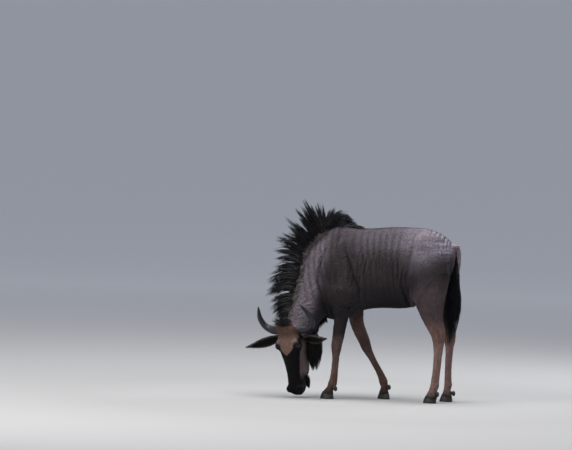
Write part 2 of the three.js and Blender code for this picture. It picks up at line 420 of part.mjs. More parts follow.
// a tapered strand through points: rows of x, y, z, radius, with a flatness and the direction it is thin in
function strand(rows, sides, parts, thinAxis = [0, 1, 0], flat = 1, grow = 0) {
  const S = smoothRows(rows, parts);
  return tube(S.map((s, i) => {
    const a = S[Math.max(i - 1, 0)], b = S[Math.min(i + 1, S.length - 1)];
    const t = unit([b[0] - a[0], b[1] - a[1], b[2] - a[2]]);
    const u = unit(add(thinAxis, t, -dot(thinAxis, t))), v = cross(t, u);
    const c = add(s.slice(0, 3), t, grow * (i === 0 ? -1 : i === S.length - 1 ? 1 : 0));
    return Array.from({ length: sides }, (_, j) => {
      const w = 2 * Math.PI * j / sides;
      return add(add(c, u, Math.cos(w) * (s[3] * flat + grow)), v, Math.sin(w) * (s[3] + grow));
    });
  }));
}
function ball(c, r, ws = 10, hs = 8) {
  const g = new THREE.SphereGeometry(r, ws, hs); g.deleteAttribute('normal'); g.deleteAttribute('uv');
  const m = mergeVertices(g, 1e-4), P = m.attributes.position, V = [], F = [];
  for (let i = 0; i < P.count; i++) V.push([P.getX(i) + c[0], P.getY(i) + c[1], P.getZ(i) + c[2]]);
  for (let i = 0; i < m.index.count; i += 3) F.push([m.index.getX(i), m.index.getX(i + 1), m.index.getX(i + 2)]);
  return solid({ V, F });
}
// everything on the side of a plane that its normal points to, as a large box
function halfSpace(point, normal, size = 3000) {
  const n = unit(normal), u = unit(cross(n, Math.abs(n[2]) < 0.9 ? [0, 0, 1] : [1, 0, 0])), v = cross(n, u);
  const r = [[-1, -1], [1, -1], [1, 1], [-1, 1]];
  return tube([0, size].map((h) => r.map(([a, b]) => add(add(add(point, n, h), u, a * size), v, b * size))));
}
const wall = (point, normal, gap = GAP) => {
  const n = unit(normal), u = unit(cross(n, Math.abs(n[2]) < 0.9 ? [0, 0, 1] : [1, 0, 0])), v = cross(n, u);
  const r = [[-1, -1], [1, -1], [1, 1], [-1, 1]];
  return (s) => tube([-gap / 2, gap / 2].map((h) => r.map(([a, b]) => add(add(add(point, n, h), u, a * s), v, b * s))));
};
const largest = (m) => m.decompose().sort((a, b) => b.volume() - a.volume())[0];
function toArrays(m) {
  const g = m.getMesh(), V = [], F = [];
  for (let i = 0; i < g.vertProperties.length; i += g.numProp) V.push([g.vertProperties[i], g.vertProperties[i + 1], g.vertProperties[i + 2]]);
  for (let i = 0; i < g.triVerts.length; i += 3) F.push([g.triVerts[i], g.triVerts[i + 1], g.triVerts[i + 2]]);
  return { V, F };
}
// the same mesh swollen along its vertex normals, to keep a gap round it
function swollen({ V, F }, d) {
  const N = V.map(() => [0, 0, 0]);
  for (const f of F) { const n = cross(sub(V[f[1]], V[f[0]]), sub(V[f[2]], V[f[0]])); for (const v of f) N[v] = add(N[v], n); }
  return solid({ V: V.map((p, i) => add(p, unit(N[i]), d)), F: F.map((f) => f.slice()) });
}

// ---------- the flesh, whole ----------
const headWeight = (p) => (p[2] < 600 && p[0] < -250 ? 2.6 : p[2] < 420 ? 1.8 : 1);
const whole = thin(surfaceNet(flesh, [-594, -343, -24], [765, 250, 1250], VOXEL), FLESH_TRIANGLES, headWeight);
let body = solid(whole);
const aroundFlesh = swollen(whole, GAP * 2.5).add(swollen(whole, GAP + 0.12));

// ---------- feet ----------
const turned = (foot, f, s) => { const a = rad(foot[4]); return [foot[1] - f * Math.cos(a) + s * Math.sin(a) * Math.sign(foot[2]) * -1, foot[2] + (s * Math.cos(a) * Math.sign(foot[2])) + f * Math.sin(a) * Math.sign(foot[2])]; };
const coronetAt = (foot, x) => CORONET + CORONET_RISE * (foot[1] - x);
const pieces = {};
for (const foot of FEET) {
  const [name, x, y, size, , dx, dz] = foot;
  for (const side of [1, -1]) {
    const ring = (k, shift, h) => CLAW.map(([f, s]) => {
      const [px, py] = turned(foot, f * size * k + shift, side * Math.max(s * size * k, 3));
      return [px, py, h === null ? coronetAt(foot, px) : h];
    });
    const at = (t) => { const top = ring(mix(1, 0.76, t), mix(0, -5, t), null), low = ring(mix(1, 0.76, t), mix(0, -5, t), 5); return top.map((p, i) => [p[0], p[1], mix(low[i][2], p[2], t)]); };
    pieces[`hoof_${name}_${side > 0 ? 'outer' : 'inner'}`] = tube([ring(0.95, 0, 0), ring(1, 0, 5), at(0.5), at(1)]);
    // dewclaw: a blunt cone that points down and back
    const cone = (g) => strand([[dx - 8, y + side * 15, dz + 15, 10], [dx - 2, y + side * 17, dz + 5, 12], [dx + 4, y + side * 18, dz - 8, 9], [dx + 6, y + side * 18, dz - 18, 3.5]], 5, 1, [0, 1, 0], 0.9, g);
    pieces[`dewclaw_${name}_${side > 0 ? 'outer' : 'inner'}`] = cone(0);
    body = body.subtract(cone(GAP));
  }
  // the flesh ends on the coronet
  const n = unit([-CORONET_RISE, 0, -1]), c = [x, y, CORONET + GAP];
  const u = unit([1, 0, -CORONET_RISE]), v = [0, 1, 0];
  body = body.subtract(tube([0, 120].map((h) => [[-1, -1], [1, -1], [1, 1], [-1, 1]].map(([a, b]) => add(add(add(c, n, h), u, a * 85), v, b * 62)))));
}

// ---------- eyes, horns, ears ----------
for (const [name, s] of [['left', 1], ['right', -1]]) {
  const c = headPoint(s * EYE[0], EYE[1], EYE[2]);
  pieces[`eye_${name}`] = ball(c, EYE_R);
  body = body.subtract(ball(c, EYE_R + GAP));
  const rows = HORN.map(([l, f, u, r]) => [...headPoint(s * l, f, u), r]);
  pieces[`horn_${name}`] = strand(rows, 8, 1, ha, 1, 0);
  body = body.subtract(strand(rows, 8, 1, ha, 1, GAP));
}
// an ear is a leaf rolled into a cup that opens forward
function ear(root, dir, length, grow) {
  const d = unit(add(add(hl.map((v) => v * dir[0]), hn, dir[1]), ha, dir[2])), o0 = add(hn.map((v) => v * 0.85), ha, 0.45);
  const o = unit(add(o0, d, -dot(o0, d))), w = cross(d, o), c0 = headPoint(...root), n = EAR_WIDTH.length;
  return tube(EAR_WIDTH.map((hw, i) => {
    const t = i / (n - 1), cup = 0.75 * hw * (1 - 0.55 * t), th = mix(9, 4, t) * (hw > 6 ? 1 : 0.5);
    const c = add(add(c0, d, t * length + (i === 0 ? -grow : i === n - 1 ? grow : 0)), o, 14 * Math.sin(Math.PI * t) * 0.5);
    const A = [-1, -0.6, 0, 0.6, 1], outer = A.map((a) => [a * (hw + grow), -cup * (1 - a * a) - grow]);
    const inner = [0.84, 0.4, 0, -0.4, -0.84].map((a) => [a * (hw + grow), -cup * (1 - a * a) + th + grow]);
    return [...outer, ...inner].map(([a, b]) => add(add(c, w, a), o, b));
  }));
}
for (const [name, root, dir, length] of EARS) {
  pieces[name] = ear(root, dir, length, 0);
}

// ---------- parting the flesh ----------
// a prism: a polygon in the side view or the front view, carried across
const prism = (poly, axis, lo, hi) => tube([lo, hi].map((h) => poly.map(([a, b]) => (axis === 'y' ? [a, h, b] : [h, a, b]))));
const boxOf = (lo, hi) => prism([[lo[0], lo[2]], [hi[0], lo[2]], [hi[0], hi[2]], [lo[0], hi[2]]], 'y', lo[1], hi[1]);
const headBlock = (g) => {
  const at = (l, v, h) => add(add(add(headPoint(0, -56, 26), hl, l), add(hn.map((q) => q * -0.669), ha, 0.743), v), add(hn.map((q) => q * 0.743), ha, 0.669), h);
  return tube([-g, 620].map((h) => [at(-170 - g, -230 - g, h), at(158 + g, -230 - g, h), at(158 + g, 470, h), at(-170 - g, 470, h)]));
};
const neckBlock = (g) => boxOf([-900, -500, 300], [-232 + g, 500, 1500]);
const tailBlock = (g) => prism([[690 - g, 700 - g], [800, 700 - g], [800, 1140], [672 - g, 1140], [690 - g, 1060]], 'y', -48 - g, 48 + g);
const foreBlock = (s, g) => prism([[s * (58 - g), 573 + g], [s * 202, 762 + g * 1.7], [s * 330, 762 + g * 1.7], [s * 330, -60], [s * (48 - g), -60]], 'x', -262, 275);
const hindBlock = (s, g) => prism([[335, 800], [742, 1046], [780, 1046], [780, -60], [430, -60], [405, 640]].map(([x, z]) => [x - 1.5 * g, z + 0.4 * g]), 'y', s > 0 ? GAP / 2 : -400, s > 0 ? 400 : -GAP / 2);
const put = (name, m) => { pieces[name] = largest(m); };
put('head', body.intersect(headBlock(0)));
let rest = body.subtract(headBlock(GAP));
put('neck', rest.intersect(neckBlock(0)));
rest = rest.subtract(neckBlock(GAP));
put('tail_dock', rest.intersect(tailBlock(0)));
rest = rest.subtract(tailBlock(GAP));
const below = (z) => boxOf([-500, -500, -100], [1000, 500, z]), above = (z) => boxOf([-500, -500, z], [1000, 500, 1500]);
for (const [side, s] of [['left', -1], ['right', 1]]) {
  const fore = rest.intersect(foreBlock(s, 0));
  put(`foreleg_${side}_upper`, fore.intersect(above(322)));
  put(`foreleg_${side}_lower`, fore.intersect(below(322 - GAP)));
  const hind = rest.intersect(hindBlock(s, 0));
  put(`hindleg_${side}_upper`, hind.intersect(above(455)));
  put(`hindleg_${side}_lower`, hind.intersect(below(455 - GAP)));
}
for (const s of [-1, 1]) rest = rest.subtract(foreBlock(s, GAP));
rest = rest.subtract(prism([[335, 800], [742, 1046], [780, 1046], [780, -60], [430, -60], [405, 640]].map(([x, z]) => [x - 1.5 * GAP, z + 0.4 * GAP]), 'y', -400, 400));
put('trunk', rest);

// ---------- hair ----------
const clear = (m, ...others) => largest(others.reduce((a, o) => a.subtract(o), m));
// neighbours moved a little each way, so that what is cut by them keeps a gap on every side
const moved = (names) => names.flatMap((name) => {
  const { V, F } = toArrays(pieces[name]), d = GAP * 1.8;
  return [[0, 0, 0], [d, 0, 0], [-d, 0, 0], [0, d, 0], [0, -d, 0], [0, 0, d], [0, 0, -d]].map((t) => solid({ V: V.map((p) => add(p, t)), F }));
});
const hornsOut = ['left', 'right'].map((n, i) => strand(HORN.map(([l, f, u, r]) => [...headPoint((i ? -1 : 1) * l, f, u), r]), 8, 1, ha, 1, GAP));
const earsOut = EARS.map(([, root, dir, length]) => ear(root, dir, length, 1.2));
const locks = MANE.map(([x, y, z, a, b, c, lift, r]) => {
  const d = unit([a - x, 0, c - z]), up = d[2] > 0.6 ? [d[2] * Math.sign(d[0] || -1) * -1, 0, Math.abs(d[0])] : [0, 0, 1];
  const P = (t, k) => [mix(x, a, t) + up[0] * lift * k, mix(y, b, t), mix(z, c, t) + up[2] * lift * k];
  return strand([[...P(0, 0), r * 1.2], [...P(0.33, 0.8), r * 1.25], [...P(0.66, 0.8), r * 0.8], [...P(1, 0), 2.2]], 4, 1, [0, 1, 0], 0.8);
});
const mane = [strand(MANE_RIDGE, 6, 1, [0, 1, 0], 0.9), ...locks].reduce((a, b) => a.add(b));
for (const [name] of EARS) pieces[name] = clear(pieces[name], aroundFlesh, ...moved(['head', 'neck']), ...hornsOut);
pieces.mane = clear(mane, aroundFlesh, ...moved(['head', 'neck', 'trunk']), ...hornsOut, ...earsOut);
pieces.tail_hair = clear(strand(TAIL_HAIR, 8, 1, [0, 1, 0], 0.62), aroundFlesh, ...moved(['trunk', 'tail_dock', 'hindleg_left_upper', 'hindleg_right_upper', 'hindleg_left_lower', 'hindleg_right_lower']));
pieces.beard = clear(BEARD.map((r) => strand(r, 6, 1, [0, 1, 0], 0.8)).reduce((a, b) => a.add(b)), aroundFlesh, ...moved(['head', 'neck', 'foreleg_left_upper', 'foreleg_left_lower']), ...earsOut);
pieces.chin_hair = clear(strand(CHIN_HAIR.map(([l, f, u, r]) => [...headPoint(l, f, u), r]), 6, 1, hl, 0.8), aroundFlesh, ...moved(['head', 'beard']));

// ---------- the scene graph ----------
const FINISH = {
  coat: [0x51494a, 0.82], face: [0x17171a, 0.75], hair: [0x121317, 0.7], horn: [0x35363a, 0.38], hoof: [0x1d1c1c, 0.5], eye: [0x0b0808, 0.12], ear: [0x1d1c20, 0.8],
};
const finishOf = (name) => (/^(mane|beard|tail_hair|chin)/.test(name) ? 'hair' : /^(hoof|dewclaw)/.test(name) ? 'hoof' : /^horn/.test(name) ? 'horn' : /^eye/.test(name) ? 'eye' : /^ear/.test(name) ? 'ear' : name === 'head' ? 'face' : 'coat');
const group = new THREE.Group();
group.position.set(...SHIFT);
for (const [name, m] of Object.entries(pieces)) {
  const { V, F } = toArrays(m), g = new THREE.BufferGeometry();
  g.setAttribute('position', new THREE.Float32BufferAttribute(V.flat(), 3));
  g.setIndex(F.flat());
  g.computeVertexNormals();
  const [color, roughness] = FINISH[finishOf(name)];
  const mesh = new THREE.Mesh(g, new THREE.MeshStandardMaterial({ color, roughness, metalness: 0 }));
  mesh.name = name;
  group.add(mesh);
}

export default group;
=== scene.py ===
# A young wildebeest that grazes with its head turned to its left: one skin over the frame's flesh,
# short coat in tufts, mane, beard and tail in locks, horns, hooves and eyes of their own.
# Shapes are worked out in millimetres in the model's own build frame and moved by SHIFT at the end.
import bpy, bmesh, math
import numpy as np
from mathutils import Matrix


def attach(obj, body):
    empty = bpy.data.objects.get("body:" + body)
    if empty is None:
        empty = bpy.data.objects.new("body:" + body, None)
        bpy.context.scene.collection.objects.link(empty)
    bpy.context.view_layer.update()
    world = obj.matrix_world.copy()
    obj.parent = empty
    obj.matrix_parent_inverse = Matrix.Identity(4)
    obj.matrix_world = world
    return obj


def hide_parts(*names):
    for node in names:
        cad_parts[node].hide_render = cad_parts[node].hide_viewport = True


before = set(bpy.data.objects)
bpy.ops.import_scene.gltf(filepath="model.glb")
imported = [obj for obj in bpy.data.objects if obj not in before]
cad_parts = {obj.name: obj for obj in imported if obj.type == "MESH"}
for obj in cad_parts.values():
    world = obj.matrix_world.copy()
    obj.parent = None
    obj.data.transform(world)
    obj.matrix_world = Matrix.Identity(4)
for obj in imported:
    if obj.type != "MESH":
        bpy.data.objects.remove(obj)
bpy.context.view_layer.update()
rng = np.random.default_rng(20)

# ---------- sizes shared with the solids ----------
SHIFT = [-5, 73.5, 0]
EYE_R = 21
TRUNK = [
  [-255, 1010, 660, 60, 0.5, 2.0], [-225, 1095, 600, 100, 0.48, 1.9], [-185, 1165, 562, 135, 0.45, 1.8],
  [-146, 1203, 550, 156, 0.42, 1.7], [-60, 1206, 562, 178, 0.40, 1.7], [32, 1196, 612, 190, 0.42, 1.8],
  [120, 1199, 636, 197, 0.42, 1.9], [213, 1209, 643, 199, 0.43, 1.95], [300, 1214, 643, 197, 0.45, 2.0],
  [390, 1215, 655, 189, 0.5, 2.0], [450, 1214, 690, 180, 0.52, 2.0], [500, 1208, 740, 170, 0.55, 2.0],
  [558, 1187, 790, 154, 0.55, 2.0], [610, 1155, 830, 130, 0.55, 2.0], [642, 1126, 876, 98, 0.55, 2.0],
  [666, 1108, 950, 54, 0.55, 2.0],
]
NECK = [
  [-150, 0, 1195, -110, 0, 620, 150, 0.42, 1.7], [-215, 0, 1178, -160, 0, 575, 138, 0.42, 1.7],
  [-285, -12, 1125, -195, -8, 560, 122, 0.42, 1.7], [-340, -28, 1060, -215, -20, 558, 110, 0.43, 1.75],
  [-372, -48, 985, -226, -38, 552, 101, 0.44, 1.8], [-386, -72, 895, -236, -60, 545, 94, 0.45, 1.85],
  [-402, -95, 815, -243, -85, 535, 88, 0.46, 1.9], [-418, -120, 735, -248, -108, 518, 82, 0.48, 1.9],
  [-430, -142, 665, -255, -128, 492, 79, 0.5, 2.0], [-450, -172, 590, -270, -138, 458, 76, 0.5, 2.0],
  [-462, -196, 545, -298, -140, 432, 70, 0.5, 2.0],
]
HEAD = [
  [-62, 18, 50, 34], [-42, 44, 72, 62], [-15, 58, 80, 78], [25, 64, 88, 86], [65, 68, 98, 90],
  [105, 69, 118, 91], [140, 67, 132, 88], [180, 63, 126, 79], [230, 59, 106, 67], [290, 55, 86, 59],
  [340, 53, 74, 57], [385, 51, 66, 62], [415, 48, 58, 64], [440, 40, 48, 57], [456, 26, 34, 42],
]
FORE_NEAR = [
  [-165, -125, 30, 42, 42, 40], [-158, -125, 50, 36, 36, 36], [-146, -125, 76, 29, 30, 28],
  [-134, -125, 104, 34, 36, 32], [-128, -125, 130, 31, 33, 30], [-123, -125, 175, 28, 30, 26],
  [-119, -125, 235, 27, 29, 25], [-116, -125, 285, 28, 29, 27], [-114, -125, 318, 33, 31, 32],
  [-112, -125, 355, 41, 38, 38], [-110, -126, 385, 43, 40, 38], [-104, -127, 430, 44, 45, 38],
  [-96, -129, 492, 47, 48, 41], [-87, -131, 557, 50, 52, 45], [-86, -134, 620, 60, 62, 50],
  [-76, -136, 690, 78, 78, 56], [-62, -136, 760, 95, 78, 58],
]
FORE_FAR = [
  [203, 105, 32, 40, 38, 40], [204, 105, 58, 34, 33, 35], [204, 105, 88, 28, 29, 28],
  [196, 105, 120, 33, 36, 32], [184, 106, 150, 29, 32, 28], [160, 107, 198, 26, 28, 24],
  [130, 107, 248, 26, 27, 24], [106, 108, 290, 28, 28, 26], [86, 109, 325, 34, 32, 32],
  [68, 110, 362, 42, 38, 38], [48, 111, 405, 43, 45, 37], [20, 113, 462, 47, 48, 39],
  [-6, 115, 526, 51, 52, 42], [-20, 118, 610, 60, 62, 49], [-32, 120, 690, 76, 75, 55],
  [-42, 120, 760, 95, 75, 58],
]
HIND = [
  [30, 514, 604, 120, 40], [60, 527, 606, 120, 35], [88, 541, 607, 120, 29], [118, 549, 620, 120, 33],
  [145, 554, 620, 120, 30], [185, 559, 622, 120, 26], [241, 564, 627, 120, 25], [315, 566, 632, 120, 26],
  [350, 566, 636, 120, 27], [389, 563, 641, 120, 30], [425, 557, 646, 120, 33], [464, 546, 650, 120, 36],
  [500, 526, 650, 120, 37], [538, 503, 643, 120, 39], [575, 482, 633, 120, 44], [620, 457, 628, 119, 52],
  [680, 430, 633, 118, 62], [740, 412, 642, 116, 72], [800, 398, 653, 114, 80], [870, 384, 665, 110, 88],
  [950, 380, 664, 105, 90], [1040, 392, 650, 98, 84], [1130, 430, 600, 85, 70],
]
HIND_SHIFT = [[30, 88], [88, 75], [150, 64], [240, 55], [540, 48], [700, 30], [900, 8], [1130, 0]]
HIND_FAR_THIN = 0.88
DOCK = [[680, 0, 1088, 34], [702, 0, 1052, 24], [706, 0, 980, 20], [702, 0, 900, 17], [698, 0, 830, 14], [695, 0, 790, 11]]
MUSCLES = [
  [-105, 106, 920, 94, 60, 192, -14, 50],
  [-150, 110, 740, 80, 62, 95, 0, 40],
  [-40, 128, 790, 88, 60, 105, 20, 36],
  [470, 128, 930, 130, 62, 120, 0, 40],
  [500, 88, 1090, 90, 66, 64, 15, 50],
]
LUMPS = [
  [78, 30, 112, 26, 30, 36, 16],
  [70, 46, 84, 26, 20, 22, 18],
  [62, -62, 118, 30, 52, 62, 24],
  [44, 30, 418, 24, 26, 30, 14],
  [80, -40, 40, 26, 30, 30, 16],
  [62, 2, -8, 44, 44, 36, 18],
  [55, -60, 228, 27, 41, 120, 34],
]
CHIN = [0, -50, 405, 46, 30, 56, 16]
HORN = [
  [48, -2, 0, 34], [84, -4, 3, 33], [118, -5, 5, 30], [150, -7, -1, 27], [178, -6, -14, 24.5], [200, 3, -40, 22],
  [208, 22, -78, 19.5], [203, 40, -110, 16], [191, 58, -141, 11.5], [180, 74, -168, 6.5], [173, 83, -184, 1.6],
]
EARS = [
  ['ear_left', [84, -46, 82], [0.90, 0.28, -0.03], 236], ['ear_right', [-84, -34, 58], [-0.83, 0.53, 0.15], 262],
]
EAR_WIDTH = [18, 28, 38, 41, 40, 35, 25, 12, 3]
EYE = [83, 36, 112]
MANE = [
  [-118, 0, 1200, 8, 26, 1166, 60, 17], [-140, 0, 1200, -14, -30, 1190, 78, 18], [-165, 0, 1196, -62, 8, 1268, 62, 18],
  [-188, -2, 1188, -118, -20, 1316, 40, 18], [-208, -3, 1180, -176, 24, 1336, 22, 19], [-226, -5, 1172, -238, -16, 1354, 8, 19],
  [-244, -7, 1160, -302, 22, 1352, 4, 19], [-262, -9, 1145, -372, -30, 1380, 6, 20], [-280, -12, 1128, -398, 18, 1366, 12, 20],
  [-296, -15, 1112, -444, -38, 1334, 16, 20], [-312, -20, 1094, -474, 12, 1304, 18, 20], [-328, -25, 1074, -500, -48, 1276, 22, 20],
  [-344, -31, 1050, -541, 0, 1228, 28, 20], [-357, -39, 1022, -566, -66, 1160, 32, 20], [-369, -47, 990, -582, -14, 1078, 38, 20],
  [-377, -57, 952, -592, -84, 990, 42, 21], [-384, -70, 905, -588, -34, 912, 44, 22], [-391, -82, 862, -606, -112, 838, 46, 22],
  [-400, -95, 818, -627, -62, 768, 48, 23], [-409, -108, 775, -628, -138, 724, 44, 23], [-418, -120, 732, -608, -90, 684, 40, 22],
  [-425, -133, 694, -592, -166, 642, 34, 21], [-434, -148, 652, -562, -122, 606, 28, 20], [-444, -164, 612, -530, -196, 582, 20, 18],
  [-458, -188, 566, -500, -170, 556, 14, 16],
]
MANE_RIDGE = [
  [-100, 0, 1203, 8], [-150, 0, 1203, 15], [-215, -3, 1186, 21], [-287, -13, 1132, 25], [-345, -30, 1064, 26], [-378, -50, 985, 26],
  [-393, -74, 895, 26], [-408, -97, 815, 25], [-424, -121, 735, 23], [-437, -144, 665, 21], [-456, -172, 592, 18], [-468, -198, 552, 12],
]
TAIL_HAIR = [
  [694, 0, 1066, 10], [686, 0, 1010, 24], [682, 0, 920, 32], [684, 0, 830, 40], [686, 0, 740, 50], [682, 0, 650, 55],
  [676, 0, 570, 50], [669, 0, 490, 36], [663, 0, 430, 20], [659, 0, 384, 3],
]
BEARD = [
  [[-282, -142, 452, 26], [-270, -144, 400, 40], [-258, -144, 330, 38], [-250, -142, 262, 25], [-244, -140, 192, 3]],
  [[-300, -128, 430, 26], [-292, -130, 370, 36], [-284, -130, 300, 32], [-276, -130, 235, 16], [-270, -130, 190, 3]],
  [[-268, -150, 448, 20], [-246, -156, 392, 28], [-230, -158, 322, 22], [-222, -158, 256, 3]],
]
CHIN_HAIR = [[14, -56, 318, 20], [22, -78, 362, 25], [28, -90, 402, 19], [34, -96, 446, 3]]
FEET = [
  ['front_left', -166, -125, 0.93, 0, -112, 74], ['front_right', 204, 105, 0.90, 14, 236, 84],
  ['hind_left', 556, -120, 0.90, 0, 604, 64], ['hind_right', 644, 108, 0.90, 0, 692, 60],
]
CLAW = [[-45, 4], [-47, 17], [-38, 31], [-14, 38], [14, 35], [36, 25], [50, 12], [53, 5], [30, 3], [-10, 3]]
HEAD_O = [-445, -175, 478]
CORONET, CORONET_RISE = 46, 0.22

COAT = 4.5            # the skin lies this far inside the solids
VOXEL = 7.6

A = lambda v: np.asarray(v, float)
SH = A(SHIFT)
def unit(v): v = A(v); return v / (np.linalg.norm(v, axis=-1, keepdims=True) + 1e-12)
def mix(a, b, t): return a + (b - a) * t
def sstep(a, b, x): t = np.clip((x - a) / (b - a), 0, 1); return t * t * (3 - 2 * t)
def gauss(x, s): return np.exp(-0.5 * (x / s) ** 2)

_y, _t, _p = math.radians(25), math.radians(5.5), math.radians(10)
_n0, _l0, _a0 = A([-math.sin(_y), -math.cos(_y), 0]), A([math.cos(_y), -math.sin(_y), 0]), A([0, 0, -1])
_a1 = _a0 * math.cos(_t) + _l0 * math.sin(_t); HL = _l0 * math.cos(_t) - _a0 * math.sin(_t)
HA = _a1 * math.cos(_p) - _n0 * math.sin(_p); HN = _n0 * math.cos(_p) + _a1 * math.sin(_p)
HO = A(HEAD_O)
def head_point(l, f, u): return HO + np.multiply.outer(A(l), HL) + np.multiply.outer(A(f), HN) + np.multiply.outer(A(u), HA)
def head_coords(P): d = P - HO; return d @ HL, d @ HN, d @ HA

def smooth_rows(rows, parts):
    rows = [A(r) for r in rows]; out = []
    for i in range(len(rows) - 1):
        p0, p1, p2, p3 = rows[max(i - 1, 0)], rows[i], rows[i + 1], rows[min(i + 2, len(rows) - 1)]
        for k in range(parts):
            t = k / parts
            out.append(0.5 * (2 * p1 + (p2 - p0) * t + (2 * p0 - 5 * p1 + 4 * p2 - p3) * t * t + (3 * p1 - p0 - 3 * p2 + p3) * t ** 3))
    out.append(rows[-1]); return out

class Sec: pass
def chain(rows, lateral=None, blend=30, cap=0.6, parts=2):
    S = []
    for r in smooth_rows(rows, parts):
        s = Sec(); s.T, s.B, s.w, s.m, s.pt, s.pb = r[:3], r[3:6], r[6], r[7], r[8], r[9]
        s.c = mix(s.B, s.T, s.m); s.a = np.linalg.norm(s.T - s.c); s.b = np.linalg.norm(s.B - s.c); s.n = unit(s.T - s.B); S.append(s)
    for i, s in enumerate(S):
        d = S[min(i + 1, len(S) - 1)].c - S[max(i - 1, 0)].c
        l = A(lateral) if lateral is not None else unit(np.cross(s.n, d))
        if lateral is None and l[1] < 0: l = -l
        l = unit(l - s.n * (l @ s.n)); s.l = l; s.t = np.cross(l, s.n)
        if s.t @ d < 0: s.t = -s.t
    segs = []
    for p, q in zip(S[:-1], S[1:]):
        lo, hi = np.full(3, 1e9), np.full(3, -1e9)
        for s in (p, q):
            r = max(s.a, s.b) * abs(s.n) + s.w * abs(s.l) + cap * min(s.a, s.w) * abs(s.t)
            lo = np.minimum(lo, s.c - r); hi = np.maximum(hi, s.c + r)
        segs.append((p, q, lo, hi, cap))
    return dict(segs=segs, blend=blend, lo=np.min([g[2] for g in segs], 0), hi=np.max([g[3] for g in segs], 0))
def seg_value(g, P, more=False):
    p, q, _, _, cap = g
    d0 = (P - p.c) @ p.t; d1 = (P - q.c) @ q.t
    t = np.where(d0 <= 0, 0.0, np.where(d1 >= 0, 1.0, d0 / np.where(d0 - d1 == 0, 1, d0 - d1)))
    T = t[:, None]
    v = P - (p.c + (q.c - p.c) * T); n = p.n + (q.n - p.n) * T; l = p.l + (q.l - p.l) * T
    qn = np.einsum('ij,ij->i', v, n) / np.linalg.norm(n, axis=1); ql = np.einsum('ij,ij->i', v, l) / np.linalg.norm(l, axis=1)
    vv = np.einsum('ij,ij->i', v, v)
    a, b, w = mix(p.a, q.a, t), mix(p.b, q.b, t), mix(p.w, q.w, t)
    rest = np.sqrt(np.maximum(vv - qn * qn - ql * ql, 0))
    pw = np.where(qn > 0, mix(p.pt, q.pt, t), mix(p.pb, q.pb, t)); r = np.where(qn > 0, a, b)
    e = np.hypot(((np.abs(ql) / w + 1e-9) ** pw + (np.abs(qn) / r + 1e-9) ** pw) ** (1 / pw), rest / (cap * np.minimum(r, w)))
    f = np.where(e < 1e-6, -np.minimum(np.minimum(a, b), w), np.sqrt(vv) * (1 - 1 / np.maximum(e, 1e-6)))
    return (f, t, np.arctan2(ql / w, qn / r)) if more else f
def lump(c, r, axes, blend):
    c, r, axes = A(c), A(r), A(axes); e = np.abs(axes).T @ r
    return dict(c=c, r=r, axes=axes, blend=blend, lo=c - e, hi=c + e)
def lump_value(g, P):
    v = P - g['c']; e = np.linalg.norm((v @ g['axes'].T) / g['r'], axis=1)
    return np.where(e < 1e-6, -g['r'].min(), np.linalg.norm(v, axis=1) * (1 - 1 / np.maximum(e, 1e-6)))
def smin(a, b, k): h = np.maximum(k - np.abs(a - b), 0) / k; return np.minimum(a, b) - h * h * k * 0.25
def limb_rows(rows):
    out = []
    for i, r in enumerate(rows):
        a, b = rows[max(i - 1, 0)], rows[min(i + 1, len(rows) - 1)]
        t = unit([b[0] - a[0], 0, b[2] - a[2]]); f = A([-t[2], 0, t[0]]); c = A(r[:3])
        out.append([*(c + f * r[3]), *(c - f * r[4]), r[5], r[4] / (r[3] + r[4]), 2, 2])
    return out
def hind_rows(side):
    zs, ss = zip(*HIND_SHIFT); out = []
    for z, f, b, y, w in HIND:
        s = np.interp(z, zs, ss) if side > 0 else 0; k = HIND_FAR_THIN if side > 0 and z < 420 else 1
        m, h, yy = (f + b) / 2 + s, (b - f) / 2 * k, y * 0.9 if side > 0 else -y
        out.append([m - h, yy, z, m + h, yy, z, w, 0.5, 2.2, 2.2])
    return out
Y = [0, 1, 0]
NAMES = ['trunk', 'neck', 'head', 'fl', 'fr', 'hl', 'hr', 'dock']
FORMS = [
    chain([[x, 0, t, x, 0, b, w, m, pt, 2.15] for x, t, b, w, m, pt in TRUNK], Y, 30, 0.4),
    chain([[*r, 2.1] for r in NECK], None, 40),
    chain([[*head_point(0, f, u), *head_point(0, -b, u), w, b / (f + b), 2.7, 2.3] for u, f, b, w in HEAD], HL, 26),
    chain(limb_rows(FORE_NEAR), Y, 40), chain(limb_rows(FORE_FAR), Y, 40),
    chain(hind_rows(-1), Y, 44), chain(hind_rows(1), Y, 44),
    chain([[x - r, y, z, x + r, y, z, r, 0.5, 2, 2] for x, y, z, r in DOCK], Y, 24),
]
BUMPS = []
for s in (-1, 1):
    for x, y, z, rx, ry, rz, tilt, k in MUSCLES:
        a = math.radians(tilt)
        BUMPS.append(lump([x, s * y, z], [rx, ry, rz], [[math.cos(a), 0, math.sin(a)], Y, [-math.sin(a), 0, math.cos(a)]], k))
    for l, f, u, rl, rf, ru, k in LUMPS: BUMPS.append(lump(head_point(s * l, f, u), [rl, rf, ru], [HL, HN, HA], k))
BUMPS.append(lump(head_point(*CHIN[:3]), CHIN[3:6], [HL, HN, HA], CHIN[6]))

